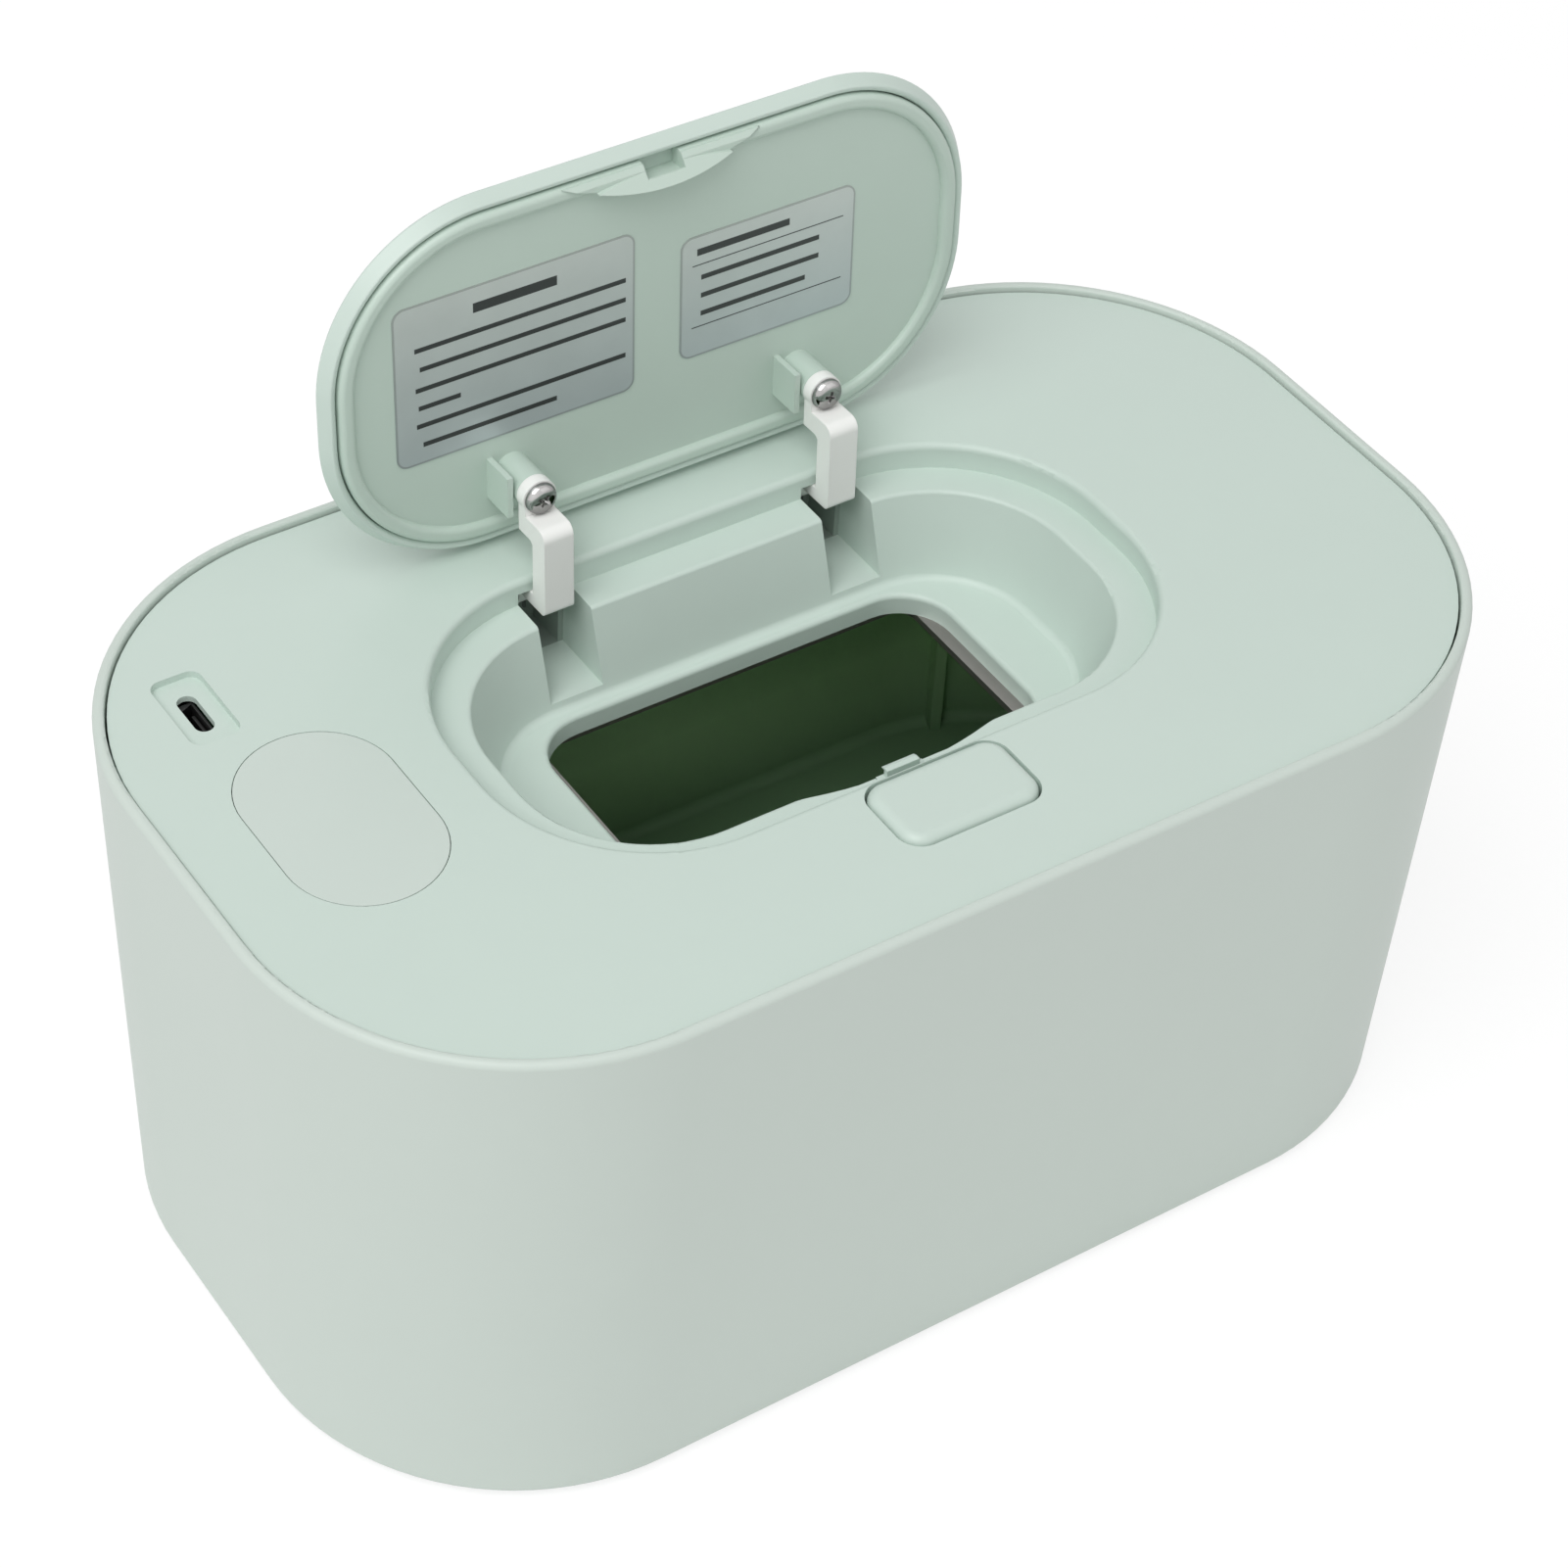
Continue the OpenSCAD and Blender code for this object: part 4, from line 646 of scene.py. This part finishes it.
def build_ejector_marks():
    """Round marks of the mould's ejector pins, as thin discs on the lid's inner face."""
    bm = bmesh.new()
    for x, y in EJECTOR_MARKS:
        made = bmesh.ops.create_circle(bm, cap_ends=True, segments=40, radius=MARK_RADIUS * MM)
        disc = made["verts"][0].link_faces[0]
        made_edge = bmesh.ops.inset_region(bm, faces=[disc], thickness=MARK_EDGE * MM, depth=0.0)
        moved = set(made["verts"]) | {vert for face in made_edge["faces"] for vert in face.verts}
        for vert in moved:
            on_disc = vert.co.to_2d().length < (MARK_RADIUS - MARK_SPLIT) * MM
            vert.co.z = (MARK_DISC_Z if on_disc else MARK_FOOT_Z) * MM
        bmesh.ops.translate(bm, verts=list(moved), vec=(x * MM, y * MM, LID_FACE_Z * MM))
    bmesh.ops.transform(bm, matrix=LID_SWING, verts=bm.verts)
    finish_piece("ejector_marks", bm, FINISHES["lid_inner"], "lid")


# Clean copies of four CAD pieces

# Where an edge was rounded off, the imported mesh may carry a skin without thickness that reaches
# out to the old corner. These are the cosines of the turn between two faces at its free edge and
# at its foot, and the most that it stands out, in millimetres.
FREE_EDGE_TURN = -0.99995
FOOT_TURN = -0.90
SKIN_REACH = 3.0
SKIN_ROUNDS = 3
# Vertices nearer than this, in millimetres, are one, and edges that turn more than this are sharp.
SAME_PLACE = 0.0002
SHARP_FROM = math.radians(24)


def skin_moves(bm):
    """The vertices on the free edges of skins, each with its vertex at the skin's foot."""
    free, foot = set(), set()
    for edge in bm.edges:
        if len(edge.link_faces) == 2:
            turn = edge.link_faces[0].normal.dot(edge.link_faces[1].normal)
            if turn < FREE_EDGE_TURN:
                free.update(edge.verts)
            elif turn < FOOT_TURN:
                foot.update(edge.verts)
    moves = {}
    for vert in bm.verts:
        if vert in free and vert not in foot:
            ends = [edge.other_vert(vert) for edge in vert.link_edges]
            reach = {end: (end.co - vert.co).length for end in ends if end in foot}
            if reach:
                nearest = min(reach, key=reach.get)
                if reach[nearest] < SKIN_REACH * MM:
                    moves[vert] = nearest
    return moves


def stand_clean_copy(node, body):
    """Stands a copy in for a CAD piece, with each skin's free edge folded back onto its foot."""
    bm = bmesh.new()
    bm.from_mesh(frame["nodes"][node].data)
    bmesh.ops.remove_doubles(bm, verts=bm.verts, dist=SAME_PLACE * MM)
    for _ in range(SKIN_ROUNDS):
        moves = skin_moves(bm)
        if not moves:
            break
        bmesh.ops.weld_verts(bm, targetmap=moves)
        bmesh.ops.dissolve_degenerate(bm, dist=SAME_PLACE * MM, edges=bm.edges)
        bm.normal_update()
    mesh = bpy.data.meshes.new(f"{node}_clean")
    bm.to_mesh(mesh)
    bm.free()
    if "custom_normal" in mesh.attributes:
        mesh.attributes.remove(mesh.attributes["custom_normal"])
    mesh.materials.append(FINISHES[node])
    mesh.shade_smooth()
    mesh.set_sharp_from_angle(angle=SHARP_FROM)
    piece = bpy.data.objects.new(f"{node}_clean", mesh)
    bpy.context.scene.collection.objects.link(piece)
    weighted = piece.modifiers.new("even_normals", "WEIGHTED_NORMAL")
    weighted.keep_sharp = True
    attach(piece, body)
    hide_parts(node)


build_lid_screws()
build_ejector_marks()
stand_clean_copy("outer_shell", "base")
stand_clean_copy("inner_liner", "base")
stand_clean_copy("top_panel", "cover")
stand_clean_copy("lid_outer", "lid")


# Floor, light and camera

# To the camera, the floor's tone that takes the object's shadow and the glow that doesn't; the
# tone by which the floor lights the object; and half the floor's side in metres.
FLOOR_SHADE = 0.28
FLOOR_GLOW = 0.78
FLOOR_TONE = 0.94
FLOOR_HALF_SIZE = 3.0

# Light from all round, and two soft lamps: place in metres, side in metres and watts.
AMBIENT = 0.45
LAMP_AIM = (0.0, 0.0, 0.06)
LAMPS = {
    "key_box": ((-0.73, -0.33, 1.43), 1.2, 15.5),
    "fill_box": ((0.9, -1.1, 0.9), 1.4, 1.5),
}

# The camera of the photograph, as fitted: angles in degrees, distance and aim in millimetres,
# focal length and picture side in pixels of the photo. The sensor's width is in millimetres.
CAMERA_AZIMUTH = -36.167
CAMERA_HEIGHT = 42.921
CAMERA_ROLL = 4.106
CAMERA_DISTANCE = 669.5
CAMERA_AIM = (8.24, 12.99, 51.82)
FOCAL_PX = 4240.245
IMAGE_SIDE = 1601
SENSOR = 36.0


def seen_directly(tree):
    """1 where the camera, a gloss or a glass looks at a surface, and 0 for the light it gives."""
    rays = tree.nodes.new("ShaderNodeLightPath")
    seen = maths(tree, "MAXIMUM", rays.outputs["Is Camera Ray"], rays.outputs["Is Glossy Ray"])
    return maths(tree, "MAXIMUM", seen, rays.outputs["Is Transmission Ray"])


def build_floor():
    """A plain pale floor, white to the camera apart from the object's shadow."""
    bm = bmesh.new()
    bmesh.ops.create_grid(bm, x_segments=1, y_segments=1, size=FLOOR_HALF_SIZE)
    mesh = bpy.data.meshes.new("floor")
    bm.to_mesh(mesh)
    bm.free()
    floor = bpy.data.objects.new("floor", mesh)
    bpy.context.scene.collection.objects.link(floor)
    finish = bpy.data.materials.new("floor_white")
    finish.use_nodes = True
    tree = finish.node_tree
    tree.nodes.clear()
    lit = add_node(tree, "ShaderNodeBsdfDiffuse", Color=(*[FLOOR_TONE] * 3, 1.0))
    shaded = add_node(tree, "ShaderNodeBsdfDiffuse", Color=(*[FLOOR_SHADE] * 3, 1.0))
    glow = add_node(tree, "ShaderNodeEmission", Color=WHITE, Strength=FLOOR_GLOW)
    shown = tree.nodes.new("ShaderNodeAddShader")
    tree.links.new(shaded.outputs["BSDF"], shown.inputs[0])
    tree.links.new(glow.outputs["Emission"], shown.inputs[1])
    choose = tree.nodes.new("ShaderNodeMixShader")
    tree.links.new(seen_directly(tree), choose.inputs["Fac"])
    tree.links.new(lit.outputs["BSDF"], choose.inputs[1])
    tree.links.new(shown.outputs["Shader"], choose.inputs[2])
    out = tree.nodes.new("ShaderNodeOutputMaterial")
    tree.links.new(choose.outputs["Shader"], out.inputs["Surface"])
    mesh.materials.append(finish)


def build_world():
    """Even light from all round; white where the camera, gloss or glass looks past the object."""
    world = bpy.data.worlds.new("studio")
    bpy.context.scene.world = world
    world.use_nodes = True
    tree = world.node_tree
    tree.nodes.clear()
    out = tree.nodes.new("ShaderNodeOutputWorld")
    ambient = add_node(tree, "ShaderNodeBackground", Color=WHITE, Strength=AMBIENT)
    shown = add_node(tree, "ShaderNodeBackground", Color=WHITE, Strength=1.0)
    choose = tree.nodes.new("ShaderNodeMixShader")
    tree.links.new(seen_directly(tree), choose.inputs["Fac"])
    tree.links.new(ambient.outputs["Background"], choose.inputs[1])
    tree.links.new(shown.outputs["Background"], choose.inputs[2])
    tree.links.new(choose.outputs["Shader"], out.inputs["Surface"])


def softbox(name, place, size, power):
    """A square soft lamp that points at the object."""
    data = bpy.data.lights.new(name, "AREA")
    data.shape = "SQUARE"
    data.size = size
    data.energy = power
    lamp = bpy.data.objects.new(name, data)
    lamp.location = place
    lamp.rotation_euler = (Vector(LAMP_AIM) - Vector(place)).to_track_quat("-Z", "Y").to_euler()
    bpy.context.scene.collection.objects.link(lamp)


def build_camera():
    """The camera of the photograph, from the fitted bearing, height, roll and distance."""
    azimuth = math.radians(CAMERA_AZIMUTH)
    height = math.radians(CAMERA_HEIGHT)
    roll = math.radians(CAMERA_ROLL)
    back = Vector((
        math.sin(azimuth) * math.cos(height), -math.cos(azimuth) * math.cos(height),
        math.sin(height)))
    right = (-back).cross(Vector((0.0, 0.0, 1.0))).normalized()
    up = right.cross(-back)
    across = right * math.cos(roll) + up * math.sin(roll)
    upward = up * math.cos(roll) - right * math.sin(roll)
    data = bpy.data.cameras.new("photo_camera")
    data.sensor_width = SENSOR
    data.lens = FOCAL_PX / IMAGE_SIDE * SENSOR
    data.clip_start = 0.01
    data.clip_end = 20.0
    camera = bpy.data.objects.new("photo_camera", data)
    turn = Matrix((across, upward, back)).transposed().to_4x4()
    place = Vector(CAMERA_AIM) * MM + back * (CAMERA_DISTANCE * MM)
    camera.matrix_world = Matrix.Translation(place) @ turn
    bpy.context.scene.collection.objects.link(camera)
    bpy.context.scene.camera = camera


build_floor()
build_world()
for name, (place, size, power) in LAMPS.items():
    softbox(name, place, size, power)
build_camera()

bpy.context.scene.view_settings.view_transform = "Standard"
